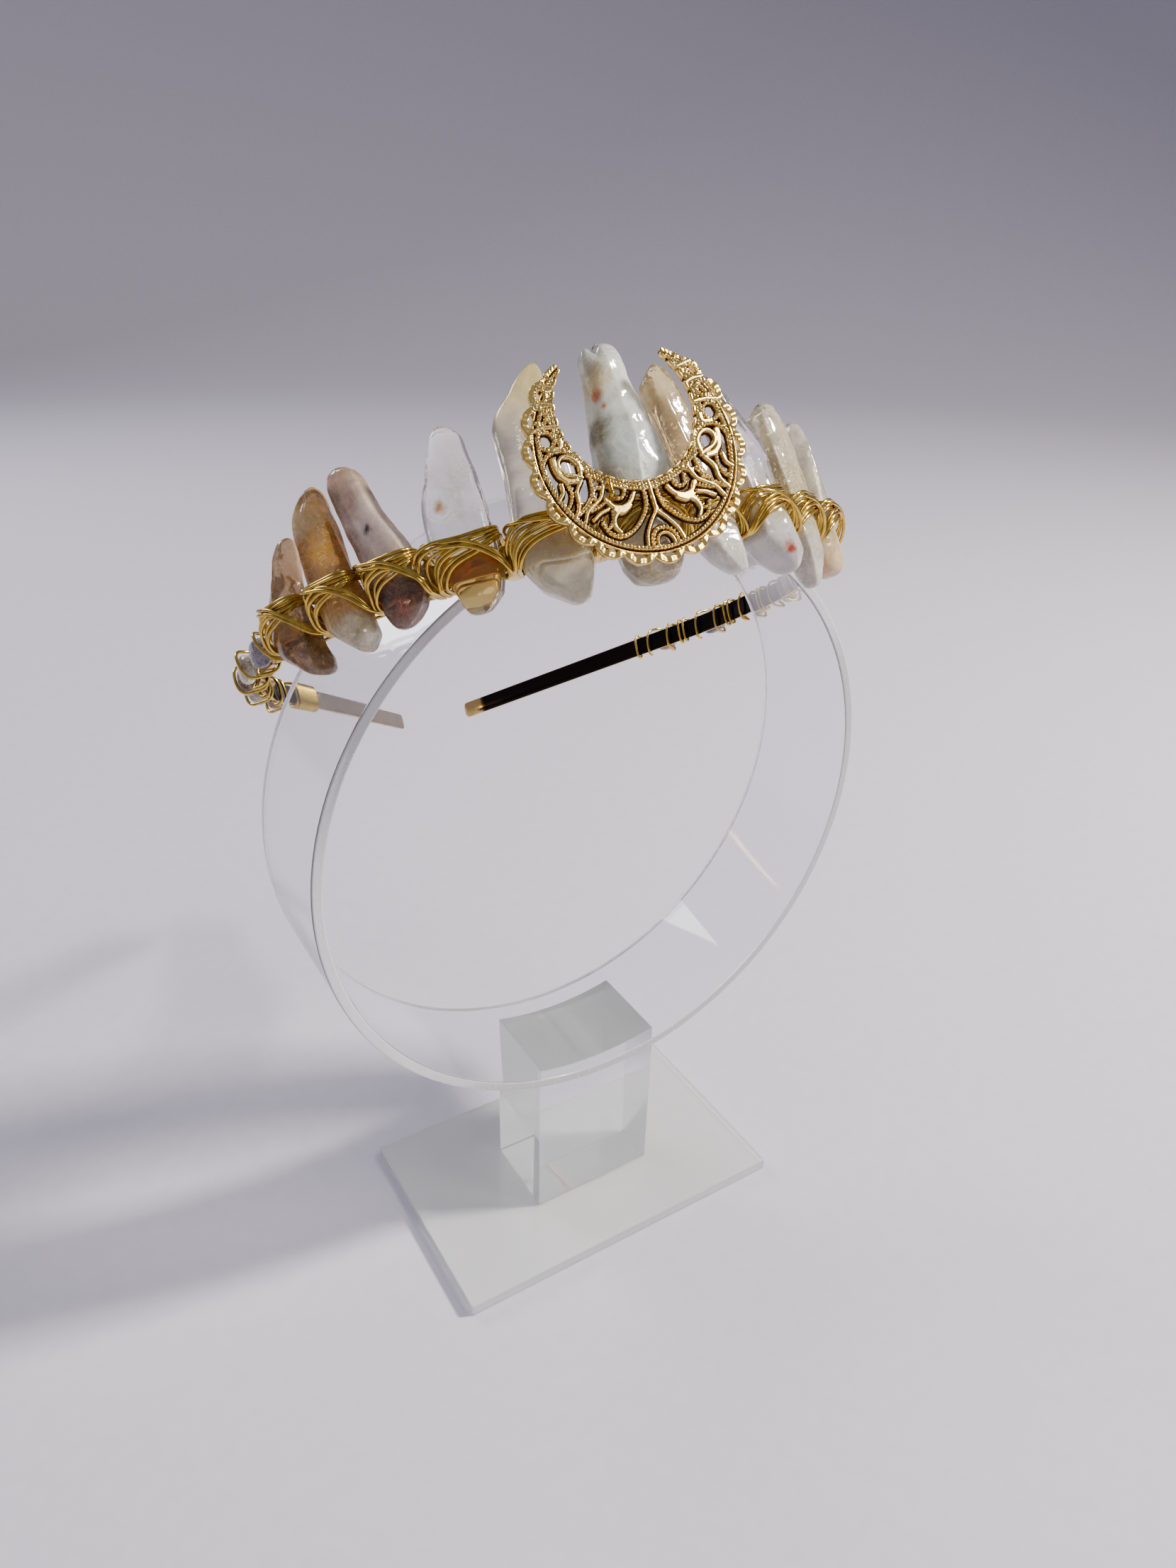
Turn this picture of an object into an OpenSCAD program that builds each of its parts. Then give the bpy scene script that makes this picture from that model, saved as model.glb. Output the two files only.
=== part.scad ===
// Diadem of ten tumbled quartz and citrine points, wired to a flat gold headband with a
// filigree crescent moon, resting on a clear ring stand.
// Millimetres. X runs along the long side of the base, Y along the ring's axis, Z up.
// The origin is the middle of the base's underside.

/* [Stand] */

// Length of the base plate.
base_length = 85.6; // [70:0.2:120]
// Depth of the base plate, along the ring's axis.
base_depth = 54.8; // [40:0.2:80]
// Thickness of the base plate.
base_thickness = 3; // [2:0.2:6]
// Width of the neck block.
neck_width = 31.6; // [20:0.2:50]
// Depth of the neck block, along the ring's axis.
neck_depth = 20.8; // [12:0.2:28]
// Height of the ring's lowest line above the base plate.
neck_height = 41.4; // [25:0.2:70]
// Outer diameter of the ring.
ring_diameter = 130; // [116:0.5:150]
// Wall of the ring.
ring_wall = 2.2; // [1.6:0.1:5]
// Width of the ring, along its axis.
ring_width = 29.2; // [22:0.2:40]
// Chamfer on the ring's rims.
ring_chamfer = 0.3; // [0.1:0.05:0.6]
// Layer of cement between the stand's pieces.
cement = 0.1; // [0.05:0.01:0.3]

/* [Headband] */

// Radius of the strip's round front part, at its middle.
band_radius = 60.4; // [56:0.2:68]
// Half the angle of the round front part.
band_angle = 120; // [112:0.5:126]
// Length of each straight end.
arm_length = 84; // [60:0.5:92]
// Width of the strip.
band_width = 4.5; // [3.5:0.1:6]
// Thickness of the strip.
band_thickness = 1; // [0.6:0.05:1.6]
// Break on the strip's long edges.
band_break = 0.2; // [0.05:0.05:0.25]
// Corner radius of the strip's ends.
band_corner = 1.2; // [0.4:0.1:1.6]

/* [Rest on the ring] */

// Tilt of the diadem, front up.
rest_tilt = 34.5; // [30:0.5:38]
// Turn of the diadem on the stand.
rest_turn = -7.2; // [-9:0.2:4]
// Lean of the diadem to its side.
rest_lean = -1; // [-2:0.1:2]
// Shift of the diadem to the right.
rest_side = 2.8; // [-4:0.2:6]
// How far the strip's front stands before the ring's near rim.
rest_forward = 11.3; // [8:0.2:14]
// Gap left between the wire and the ring.
rest_gap = 0.3; // [0.2:0.05:1]

/* [Wire] */

// Diameter of the wire.
wire_diameter = 0.65; // [0.5:0.05:0.8]
// Gap between neighbouring turns.
turn_gap = 0.09; // [0.08:0.01:0.3]
// Gap between a wire and what it is wound on.
wire_gap = 0.25; // [0.15:0.05:0.5]
// Turns round each point.
turns = 5; // [3:1:6]
// Height of the lowest turn where it crosses a point's front.
turn_rise = 1.6; // [0.5:0.1:3]
// Gap between a point's back and the strip.
point_gap = 0.2; // [0.1:0.05:0.5]

/* [Point 01] */

// Rise of the pale rose point at the left end above the strip's middle.
point_01_rise = 15; // [12:0.2:19]
// Drop of its lower end below the strip's middle.
point_01_drop = 10.4; // [7:0.2:14]
// Greatest width along the strip.
point_01_width = 10; // [8:0.2:12]
// Greatest thickness from back to front.
point_01_thickness = 6.6; // [4:0.2:10]

/* [Point 02] */

// Rise of the honey amber point with a pale lobe above the strip's middle.
point_02_rise = 21; // [17:0.2:26]
// Drop of its lower end below the strip's middle.
point_02_drop = 9.4; // [7:0.2:14]
// Greatest width along the strip.
point_02_width = 9.6; // [8:0.2:12]
// Greatest thickness from back to front.
point_02_thickness = 6.8; // [4:0.2:10]

/* [Point 03] */

// Rise of the long milky point with a blunt tip above the strip's middle.
point_03_rise = 22.2; // [18:0.2:28]
// Drop of its lower end below the strip's middle.
point_03_drop = 7.6; // [7:0.2:14]
// Greatest width along the strip.
point_03_width = 9; // [7:0.2:11]
// Greatest thickness from back to front.
point_03_thickness = 6.2; // [4:0.2:10]

/* [Point 04] */

// Rise of the clear slice with a notch above the strip's middle.
point_04_rise = 23.4; // [19:0.2:29]
// Drop of its lower end below the strip's middle.
point_04_drop = 8.6; // [7:0.2:14]
// Greatest width along the strip.
point_04_width = 11; // [9:0.2:14]
// Greatest thickness from back to front.
point_04_thickness = 4.6; // [4:0.2:10]

/* [Point 05] */

// Rise of the wide clear point with a cream tip above the strip's middle.
point_05_rise = 29.8; // [24:0.2:38]
// Drop of its lower end below the strip's middle.
point_05_drop = 10.9; // [7:0.2:14]
// Greatest width along the strip.
point_05_width = 12.2; // [10:0.2:15]
// Greatest thickness from back to front.
point_05_thickness = 6.8; // [4:0.2:10]

/* [Point 06] */

// Rise of the tall white point in the middle above the strip's middle.
point_06_rise = 31.6; // [26:0.2:41]
// Drop of its lower end below the strip's middle.
point_06_drop = 10.2; // [7:0.2:14]
// Greatest width along the strip.
point_06_width = 12.4; // [10:0.2:16]
// Greatest thickness from back to front.
point_06_thickness = 8.6; // [4:0.2:10]

/* [Point 07] */

// Rise of the clear brownish point behind the crescent's right horn above the strip's middle.
point_07_rise = 28.8; // [23:0.2:36]
// Drop of its lower end below the strip's middle.
point_07_drop = 9.8; // [7:0.2:14]
// Greatest width along the strip.
point_07_width = 9.4; // [8:0.2:12]
// Greatest thickness from back to front.
point_07_thickness = 5.6; // [4:0.2:10]

/* [Point 08] */

// Rise of the large lilac-clear point above the strip's middle.
point_08_rise = 25.2; // [20:0.2:32]
// Drop of its lower end below the strip's middle.
point_08_drop = 10.4; // [7:0.2:14]
// Greatest width along the strip.
point_08_width = 10; // [8:0.2:12]
// Greatest thickness from back to front.
point_08_thickness = 8.4; // [4:0.2:10]

/* [Point 09] */

// Rise of the veiled point with a jagged top above the strip's middle.
point_09_rise = 22.5; // [18:0.2:28]
// Drop of its lower end below the strip's middle.
point_09_drop = 12.6; // [7:0.2:14]
// Greatest width along the strip.
point_09_width = 8.4; // [7:0.2:10]
// Greatest thickness from back to front.
point_09_thickness = 6.8; // [4:0.2:10]

/* [Point 10] */

// Rise of the last point at the right above the strip's middle.
point_10_rise = 21; // [17:0.2:26]
// Drop of its lower end below the strip's middle.
point_10_drop = 9.8; // [7:0.2:14]
// Greatest width along the strip.
point_10_width = 8; // [6:0.2:10]
// Greatest thickness from back to front.
point_10_thickness = 7; // [4:0.2:10]

/* [Spacing of the points] */

// Angle of the middle point from the headband's front centre.
middle_angle = -3; // [-8:0.5:4]
// Least gap between points 01 and 02.
gap_01_02 = 2.6; // [1.8:0.1:6]
// Least gap between points 02 and 03.
gap_02_03 = 2.2; // [1.8:0.1:6]
// Least gap between points 03 and 04.
gap_03_04 = 3; // [1.8:0.1:6]
// Least gap between points 04 and 05.
gap_04_05 = 2.6; // [1.8:0.1:6]
// Least gap between points 05 and 06.
gap_05_06 = 2.8; // [1.8:0.1:6]
// Least gap between points 06 and 07.
gap_06_07 = 2; // [1.8:0.1:6]
// Least gap between points 07 and 08.
gap_07_08 = 2; // [1.8:0.1:6]
// Least gap between points 08 and 09.
gap_08_09 = 2; // [1.8:0.1:6]
// Least gap between points 09 and 10.
gap_09_10 = 2.6; // [1.8:0.1:6]

/* [Chips on the arms] */

// Number of chips on the left arm.
left_chips = 5; // [1:1:6]
// Number of chips on the right arm.
right_chips = 6; // [1:1:7]
// Distance from point 01 to the left arm's first chip.
left_chip_start = 7; // [2.6:0.1:9]
// Distance from point 10 to the right arm's first chip.
right_chip_start = 8; // [2.6:0.1:10]
// Distance from chip to chip on the left arm.
left_pitch = 11.6; // [10.4:0.2:14]
// Distance from chip to chip on the right arm.
right_pitch = 15.6; // [10.4:0.2:16]
// Length of a chip along the strip.
chip_length = 7.6; // [5:0.2:8.4]
// Height of a chip.
chip_height = 6; // [4:0.2:8]
// Thickness of a chip.
chip_thickness = 4; // [2.5:0.1:6]
// Length of the close coil after the left arm's chips.
coil_length = 11; // [3:0.5:16]

/* [Crescent] */

// Radius to the peaks of the crescent's scalloped edge.
moon_radius = 19.1; // [17:0.1:21]
// Radius of the crescent's open round.
moon_inner = 11.7; // [10.5:0.1:12.5]
// Distance between the centres of both rounds.
moon_offset = 6.6; // [5.8:0.1:7.2]
// Thickness of the crescent's sheet.
moon_sheet = 0.8; // [0.5:0.05:1.2]
// Height of the raised ridges on the sheet.
moon_ridge = 0.35; // [0.15:0.05:0.6]
// Number of scallops on the full round.
moon_scallops = 22; // [16:1:28]
// Half the opening angle between the horns' tips.
moon_opening = 33; // [22:1:40]
// Height of the crescent's centre above the strip's middle.
moon_height = 10.2; // [7:0.1:12]
// Shift of the crescent to the left of the middle point.
moon_shift = 1.3; // [-2:0.1:3]
// Turn of the crescent's face away from the middle point's.
moon_turn = -0.8; // [-5:0.2:5]
// Roll of the crescent.
moon_roll = 4; // [-6:0.5:8]
// Gap between the crescent's back and the wire behind it.
moon_gap = 0.5; // [0.3:0.05:1.2]

/* [Hidden] */

$fn = 96;
ring_radius = ring_diameter / 2;
ring_z = base_thickness + neck_height + ring_radius;
wire_radius = wire_diameter / 2;
turn_pitch = wire_diameter + turn_gap;
// Where a wire's middle runs behind the strip, measured from the strip's middle.
wire_back = band_thickness / 2 + wire_gap + wire_radius;
// Where the points' backs lie before the strip's middle.
point_seat = band_thickness / 2 + point_gap;
// How far a wire's middle stays from a point's or chip's side.
wire_off = wire_radius + wire_gap;
arc_half = band_radius * band_angle * PI / 180;
band_half = arc_half + arm_length;

// Each row of a table is one level of a point: height as a share of its rise or drop,
// then side shift, width and thickness as shares of its greatest width and thickness.
table_01 = [[-1, .35, .15, .4], [-.9, .25, .5, .75], [-.7, .1, .8, .95], [-.5, -.1, 1, 1],
  [-.15, -.25, .95, 1], [.15, -.3, .8, 1], [.35, -.25, .6, 1], [.55, -.15, .4, .95],
  [.75, -.05, .3, .9], [.9, .05, .2, .7], [1, .1, .08, .35]];
table_02 = [[-1, .4, .1, .4], [-.9, .35, .25, .7], [-.7, .3, .7, .95], [-.45, .15, .95, 1],
  [0, .05, 1, 1], [.25, -.1, .9, 1], [.45, -.15, .85, 1], [.6, -.2, .85, 1],
  [.75, -.2, .7, .95], [.9, -.15, .5, .75], [1, -.05, .15, .4]];
table_03 = [[-1, .2, .2, .4], [-.85, .25, .5, .8], [-.6, .3, .8, 1], [-.15, .35, .95, 1],
  [.15, .2, 1, 1], [.35, .05, .95, 1], [.5, -.1, .85, 1], [.7, -.25, .75, .95],
  [.85, -.35, .7, .85], [.95, -.4, .55, .6], [1, -.45, .3, .35]];
table_04 = [[-1, 0, .25, .4], [-.9, 0, .4, .75], [-.7, .05, .65, 1], [-.3, .05, .85, 1],
  [0, 0, .9, 1], [.2, -.05, 1, 1], [.35, -.05, 1, 1], [.5, -.05, .9, 1],
  [.65, 0, .75, 1], [.75, 0, .65, .95], [.9, .05, .5, .75], [1, 0, .15, .35]];
table_05 = [[-1, .2, .15, .4], [-.9, .2, .35, .7], [-.7, .1, .7, .95], [-.4, .05, .95, 1],
  [0, 0, 1, 1], [.15, .05, 1, 1], [.4, .05, .95, 1], [.65, 0, .9, 1],
  [.75, .05, .8, .95], [.8, .1, .6, .85], [.9, .2, .4, .7], [1, .3, .12, .35]];
table_06 = [[-1, 0, .35, .4], [-.9, 0, .6, .7], [-.7, 0, .85, .95], [-.45, 0, .95, 1],
  [0, 0, .95, 1], [.15, 0, 1, 1], [.3, 0, 1, 1], [.45, 0, .85, 1], [.6, -.05, .7, .9],
  [.75, -.05, .6, .8], [.9, -.1, .55, .65], [.95, -.1, .45, .5], [1, -.1, .25, .35]];
table_07 = [[-1, .6, .2, .4], [-.9, .55, .4, .7], [-.7, .4, .7, .95], [-.45, .3, .9, 1],
  [-.1, .2, 1, 1], [.15, .15, 1, 1], [.3, .1, .9, 1], [.4, 0, .8, 1], [.55, -.1, .75, 1],
  [.75, -.2, .8, .95], [.85, -.25, .7, .8], [.9, -.2, .45, .7], [1, -.2, .08, .35]];
table_08 = [[-1, .55, .15, .4], [-.9, .5, .35, .7], [-.7, .4, .75, .95], [-.45, .25, 1, 1],
  [0, .15, .95, .95], [.2, .1, .9, .8], [.35, .05, .95, .8], [.5, 0, 1, .8],
  [.6, -.15, .85, .8], [.7, -.3, .6, .75], [.85, -.45, .4, .65], [1, -.6, .1, .3]];
table_09 = [[-1, .1, .15, .4], [-.85, .1, .4, .7], [-.6, .05, .75, .95], [-.3, 0, 1, 1],
  [0, 0, 1, 1], [.25, 0, 1, 1], [.5, -.1, 1, 1], [.7, -.2, .95, .95],
  [.85, -.3, .8, .85], [.95, -.3, .6, .6], [1, -.35, .3, .4]];
table_10 = [[-1, .1, .4, .6], [-.85, .1, .8, .9], [-.5, .05, 1, 1], [0, 0, 1, 1],
  [.3, 0, .95, .95], [.55, 0, .85, .9], [.75, -.05, .7, .8], [.9, -.1, .45, .6],
  [1, -.1, .15, .3]];
chip_table = [[-1, 0, .35, .5], [-.6, .05, .85, .85], [.1, 0, 1, 1], [.7, -.05, .8, .8],
  [1, 0, .35, .45]];

// Every point as [table, rise, drop, width, thickness].
POINTS = [
  [table_01, point_01_rise, point_01_drop, point_01_width, point_01_thickness],
  [table_02, point_02_rise, point_02_drop, point_02_width, point_02_thickness],
  [table_03, point_03_rise, point_03_drop, point_03_width, point_03_thickness],
  [table_04, point_04_rise, point_04_drop, point_04_width, point_04_thickness],
  [table_05, point_05_rise, point_05_drop, point_05_width, point_05_thickness],
  [table_06, point_06_rise, point_06_drop, point_06_width, point_06_thickness],
  [table_07, point_07_rise, point_07_drop, point_07_width, point_07_thickness],
  [table_08, point_08_rise, point_08_drop, point_08_width, point_08_thickness],
  [table_09, point_09_rise, point_09_drop, point_09_width, point_09_thickness],
  [table_10, point_10_rise, point_10_drop, point_10_width, point_10_thickness]];
GAPS = [gap_01_02, gap_02_03, gap_03_04, gap_04_05, gap_05_06, gap_06_07, gap_07_08,
  gap_08_09, gap_09_10];

// The eight corners of a point's section: side and depth as shares of the half sizes.
corner_table = [[.98, .3], [.5, .9], [-.5, .9], [-.98, .3], [-.98, -.3], [-.5, -.9],
  [.5, -.9], [.98, -.3]];

function sign_of(s) = s < 0 ? -1 : 1;
function unit(v) = v / norm(v);
function mix(a, b, t) = a + (b - a) * t;
function clamp(t) = max(0, min(1, t));
function total(v, i = 0) = i < len(v) ? v[i] + total(v, i + 1) : 0;

// Column c of a point's table at height h.
function level(p, h, c) =
  lookup(h < 0 ? h / p[2] : h / p[1], [for (r = p[0]) [r[0], r[c]]]);
function shift(p, h) = level(p, h, 1) * p[3];
function wide(p, h) = level(p, h, 2) * p[3];
function thick(p, h) = level(p, h, 3) * p[4];
function inside(p, h) = h > -p[2] && h < p[1];

// Distance between two neighbouring points' middles, from their sides and the gap.
function spacing(k) = let (p = POINTS[k], q = POINTS[k + 1]) GAPS[k] +
  max([for (h = [-16:0.5:40]) inside(p, h) && inside(q, h)
    ? shift(p, h) + wide(p, h) / 2 - shift(q, h) + wide(q, h) / 2 : 0]);
SPACING = [for (k = [0:8]) spacing(k)];
// Angle of point k on the headband, counted from the middle point.
function angle_of(k) = middle_angle + 180 / PI / (band_radius + 4) *
  (k > 5 ? total([for (i = [5:k - 1]) SPACING[i]])
    : k < 5 ? -total([for (i = [k:4]) SPACING[i]]) : 0);
ANGLES = [for (k = [0:9]) angle_of(k)];

// A spot by its place s along the strip, its distance d outward and its height h.
function spot(s, d, h) = let (a = min(abs(s), arc_half), n = sign_of(s),
    e = n * (abs(s) - a), t = n * a / band_radius * 180 / PI)
  [e * cos(t) + (band_radius + d) * sin(t), e * sin(t) - (band_radius + d) * cos(t), h];
// A spot in the frame of the strip at angle t: x to the side, d outward, h up.
function local_spot(t, x, d, h) =
  [x * cos(t) + (band_radius + d) * sin(t), x * sin(t) - (band_radius + d) * cos(t), h];

// Places of the chips' middles along the strip.
half_first = wide(POINTS[0], 0) / 2 - shift(POINTS[0], 0);
half_last = wide(POINTS[9], 0) / 2 + shift(POINTS[9], 0);
left_start = ANGLES[0] * PI / 180 * band_radius - half_first;
right_start = ANGLES[9] * PI / 180 * band_radius + half_last;
LEFT = [for (i = [0:left_chips - 1]) left_start - left_chip_start - chip_length / 2
  - i * left_pitch];
RIGHT = [for (i = [0:right_chips - 1]) right_start + right_chip_start + chip_length / 2
  + i * right_pitch];
CHIP = [chip_table, chip_height / 2, chip_height / 2, chip_length, chip_thickness];

// Heights of the turns: where turn i passes under the strip and over a point's front.
function foot_height(i) =
  -(band_width / 2 + wire_gap + wire_radius + .1) - turn_pitch * (turns - 1 - i);
function top_height(i) = turn_rise + turn_pitch * i;

// The diadem's attitude on the ring, before it is lifted onto it.
function leaned(p) = [p.x * cos(rest_lean) + p.z * sin(rest_lean), p.y,
  -p.x * sin(rest_lean) + p.z * cos(rest_lean)];
function tilted(p) = [p.x, p.y * cos(rest_tilt) + p.z * sin(rest_tilt),
  -p.y * sin(rest_tilt) + p.z * cos(rest_tilt)];
function turned(p) = [p.x * cos(rest_turn) - p.y * sin(rest_turn),
  p.x * sin(rest_turn) + p.y * cos(rest_turn), p.z];
rest_y = -ring_width / 2 - rest_forward + band_radius * cos(rest_tilt) * cos(rest_turn);
function posed(p) = turned(tilted(leaned(p))) + [rest_side, rest_y, 0];
// How high the diadem must stand for spot p, with so much round it, to clear the ring.
function need(p, around = 0) = let (q = posed(p), r = ring_radius + rest_gap + around)
  abs(q.y) < ring_width / 2 + 0.4 && abs(q.x) < r ? ring_z + sqrt(r * r - q.x * q.x) - q.z
    : 0;
need_band = max([for (s = [-band_half + 20:1:band_half - 20], d = [-wire_back, wire_back])
  need(spot(s, d, -band_width / 2 - wire_off), wire_radius)]);
need_points = max([for (k = [0:9]) let (p = POINTS[k]) for (r = p[0]) if (r[0] < 0)
  for (c = corner_table) let (h = r[0] * p[2])
    need(local_spot(ANGLES[k], shift(p, h) + c.x * wide(p, h) / 2,
      point_seat + p[4] / 2 + c.y * thick(p, h) / 1.8, h))]);
need_feet = max([for (k = [0:9]) for (v = turn_path(POINTS[k], 0))
  need(local_spot(ANGLES[k], v.x, v.y, v.z), wire_radius)]);
need_chips = max([for (s = concat(LEFT, RIGHT), x = [-.5, .5], d = [0, 1])
  need(spot(s + x * chip_length, point_seat + d * chip_thickness, -chip_height / 2))]);
rest_z = max(need_band, need_points, need_feet, need_chips);

// Lays the diadem on the ring.
module rest() {
  translate([rest_side, rest_y, rest_z]) rotate([0, 0, rest_turn])
    rotate([-rest_tilt, 0, 0]) rotate([0, rest_lean, 0]) children();
}

// Moves to the frame of the strip at place s.
module along(s) {
  a = min(abs(s), arc_half);
  rotate([0, 0, sign_of(s) * a / band_radius * 180 / PI])
    translate([sign_of(s) * (abs(s) - a), -band_radius, 0]) children();
}

// Moves to the frame of point k.
module at_point(k) {
  rotate([0, 0, ANGLES[k]]) translate([0, -band_radius, 0]) children();
}

// A stone lofted through the levels of its table; seed varies its facets.
module stone(p, seed) {
  n = len(p[0]);
  points = [for (i = [0:n - 1]) let (r = p[0][i], h = r[0] < 0 ? r[0] * p[2] : r[0] * p[1])
    for (j = [0:7]) let (c = corner_table[j], f = 1 - .09 * abs(sin(seed * 73 + j * 131)))
      [r[1] * p[3] + c.x * f * r[2] * p[3] / 2,
       -point_seat - p[4] / 2 - (j < 4 ? f : 1) * c.y * r[3] * p[4] / 1.8,
       h]];
  sides = [for (i = [0:n - 2], j = [0:7]) let (a = i * 8 + j, b = i * 8 + (j + 1) % 8)
    for (t = (i + j + seed) % 2 == 0 ? [[a, b, b + 8], [a, b + 8, a + 8]]
      : [[a, b, a + 8], [b, b + 8, a + 8]]) t];
  polyhedron(points, concat(sides, [[for (j = [7:-1:0]) j],
    [for (j = [0:7]) (n - 1) * 8 + j]]));
}

// A round wire of so many sides swept along a path, its section kept from twisting.
module wire(path, sides) {
  n = len(path);
  ways = [for (i = [0:n - 1]) unit(path[min(i + 1, n - 1)] - path[max(i - 1, 0)])];
  start = unit(cross(ways[0], abs(ways[0].z) < .8 ? [0, 0, 1] : [1, 0, 0]));
  across = [for (i = 0, v = start; i < n; i = i + 1,
    v = i < n ? unit(v - (v * ways[i]) * ways[i]) : v) v];
  points = [for (i = [0:n - 1]) let (u = across[i], w = cross(ways[i], u))
    for (j = [0:sides - 1]) path[i] + wire_radius *
      (cos(j * 360 / sides) * u + sin(j * 360 / sides) * w)];
  skin = [for (i = [0:n - 2], j = [0:sides - 1])
    let (a = i * sides + j, b = i * sides + (j + 1) % sides)
    for (t = [[a, b + sides, b], [a, a + sides, b + sides]]) t];
  polyhedron(points, concat(skin, [[for (j = [0:sides - 1]) j],
    [for (j = [sides - 1:-1:0]) (n - 1) * sides + j]]));
}

// One turn round a point: out from under the strip on the left, over the point's front,
// down its right side, back under the strip and across behind it to the next turn.
function climb(t) = .5 * t + .25 * (1 - cos(180 * t));
function turn_height(i, t) = mix(foot_height(i), top_height(i), climb(t))
  + (i - (turns - 1) / 2) * turn_pitch * .35 * sin(180 * t);
function girth(p, h) = max(wide(p, h), wide(p, h - .6), wide(p, h + .6));
function side_x(p, h, share, n) = shift(p, h) + n * (share * girth(p, h) / 2 + wire_off);
function turn_path(p, i) = let (mid = point_seat + p[4] / 2, f = foot_height(i))
  concat(
    [for (q = [[.72, -wire_back, .35], [.85, .35, 0]])
      [side_x(p, f, q[0], -1), q[1], f + q[2]]],
    [for (u = [180:-22.5:0]) let (t = .27 + .73 * (1 - abs(u - 90) / 90),
        h = turn_height(i, t), c = cos(u), s = sin(u))
      [shift(p, h) + sign_of(c) * pow(abs(c), .8) * (girth(p, h) / 2 + wire_off),
       mid + pow(s, .8) * (thick(p, h) / 1.8 + wire_off), h]],
    [for (q = [[.85, .35, 0], [.72, -wire_back, .35]])
      [side_x(p, f, q[0], 1), q[1], f + q[2]]],
    [[shift(p, f) + wide(p, f) / 5, -wire_back, mix(f, -.4 + (i - (turns - 1) / 2) *
        turn_pitch, .8)],
     [shift(p, f) - wide(p, f) / 5, -wire_back, mix(f, -.4 + (i - (turns - 1) / 2) *
        turn_pitch, .9)]]);

// The wrap's turns, each point of the path dropped back behind the curved strip.
module wrap(k) {
  p = POINTS[k];
  path = [for (i = [0:turns - 1]) for (v = turn_path(p, i))
    [v.x, -(v.y < 0.5 ? v.y - v.x * v.x / 2 / band_radius : v.y), v.z]];
  at_point(k) wire(path, 5);
}

// How much of a chip lies at place s: none is 0, all of it 1.
function cover(s, chips) =
  max([for (c = chips) clamp((chip_length / 2 + 1.3 - abs(s - c)) / 1.4)]);
// The wire wound along an arm, over the strip and over its chips: seven stations a turn,
// three before it, two behind it and one over each edge, spread with the cover.
function arm_spot(s, i, chips) = let (e = cover(s, chips), j = i % 7,
    f = mix(band_thickness / 2, point_seat + chip_thickness, e) + wire_off,
    g = mix(band_width, max(band_width, chip_height * 1.04), e) / 2 + wire_off,
    d = [1, mix(1, .9, e), mix(.6, .55, e), 0, 0, mix(.6, .55, e), mix(1, .9, e)][j] * f,
    h = [0, .82, 1, 0, 0, -1, -.82][j] * g)
  j == 3 || j == 4 ? spot(s, -wire_back, (7 - 2 * j) * (band_width / 2 + wire_gap))
    : spot(s, d, h);
function arm_path(start, end, step, chips, first) =
  let (n = round(abs(end - start) / step) * 7)
  [for (i = [first:n]) arm_spot(mix(start, end, i / n), i, chips)];

module crystal(k) {
  at_point(k) stone(POINTS[k], k + 1);
}

module chip(s, seed) {
  along(s) stone(CHIP, seed);
}

// The strip's section, with its long edges broken.
module strip_section() {
  x = band_thickness / 2;
  y = band_width / 2;
  b = band_break;
  polygon([[x - b, -y], [x, b - y], [x, y - b], [x - b, y], [b - x, y], [-x, y - b],
    [-x, b - y], [b - x, -y]]);
}

// A straight end, running along +X, with its corners rounded.
module arm() {
  intersection() {
    translate([-.2, 0, 0]) rotate([90, 0, 90]) linear_extrude(arm_length + .2)
      strip_section();
    rotate([90, 0, 0]) linear_extrude(band_thickness + 1, center = true) union() {
      translate([-1, -band_width]) square([arm_length + 1 - band_corner, 2 * band_width]);
      translate([-1, band_corner - band_width / 2])
        square([arm_length + 1, band_width - 2 * band_corner]);
      for (n = [-1, 1]) translate([arm_length - band_corner,
        n * (band_width / 2 - band_corner)]) circle(r = band_corner);
    }
  }
}

module headband() {
  color("goldenrod") rest() union() {
    rotate([0, 0, -90 - band_angle]) rotate_extrude(angle = 2 * band_angle, $fn = 180)
      translate([band_radius, 0]) strip_section();
    rotate([0, 0, band_angle]) translate([0, -band_radius, 0]) arm();
    mirror([1, 0, 0]) rotate([0, 0, band_angle]) translate([0, -band_radius, 0]) arm();
  }
}

module crystal_01() { color("mistyrose") rest() crystal(0); }
module crystal_02() { color("goldenrod") rest() crystal(1); }
module crystal_03() { color("lavender") rest() crystal(2); }
module crystal_04() { color("whitesmoke") rest() crystal(3); }
module crystal_05() { color("oldlace") rest() crystal(4); }
module crystal_06() { color("white") rest() crystal(5); }
module crystal_07() { color("wheat") rest() crystal(6); }
module crystal_08() { color("lavender") rest() crystal(7); }
module crystal_09() { color("whitesmoke") rest() crystal(8); }
module crystal_10() { color("peachpuff") rest() crystal(9); }

module wire_wrap_01() { color("gold") rest() wrap(0); }
module wire_wrap_02() { color("gold") rest() wrap(1); }
module wire_wrap_03() { color("gold") rest() wrap(2); }
module wire_wrap_04() { color("gold") rest() wrap(3); }
module wire_wrap_05() { color("gold") rest() wrap(4); }
module wire_wrap_06() { color("gold") rest() wrap(5); }
module wire_wrap_07() { color("gold") rest() wrap(6); }
module wire_wrap_08() { color("gold") rest() wrap(7); }
module wire_wrap_09() { color("gold") rest() wrap(8); }
module wire_wrap_10() { color("gold") rest() wrap(9); }

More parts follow.
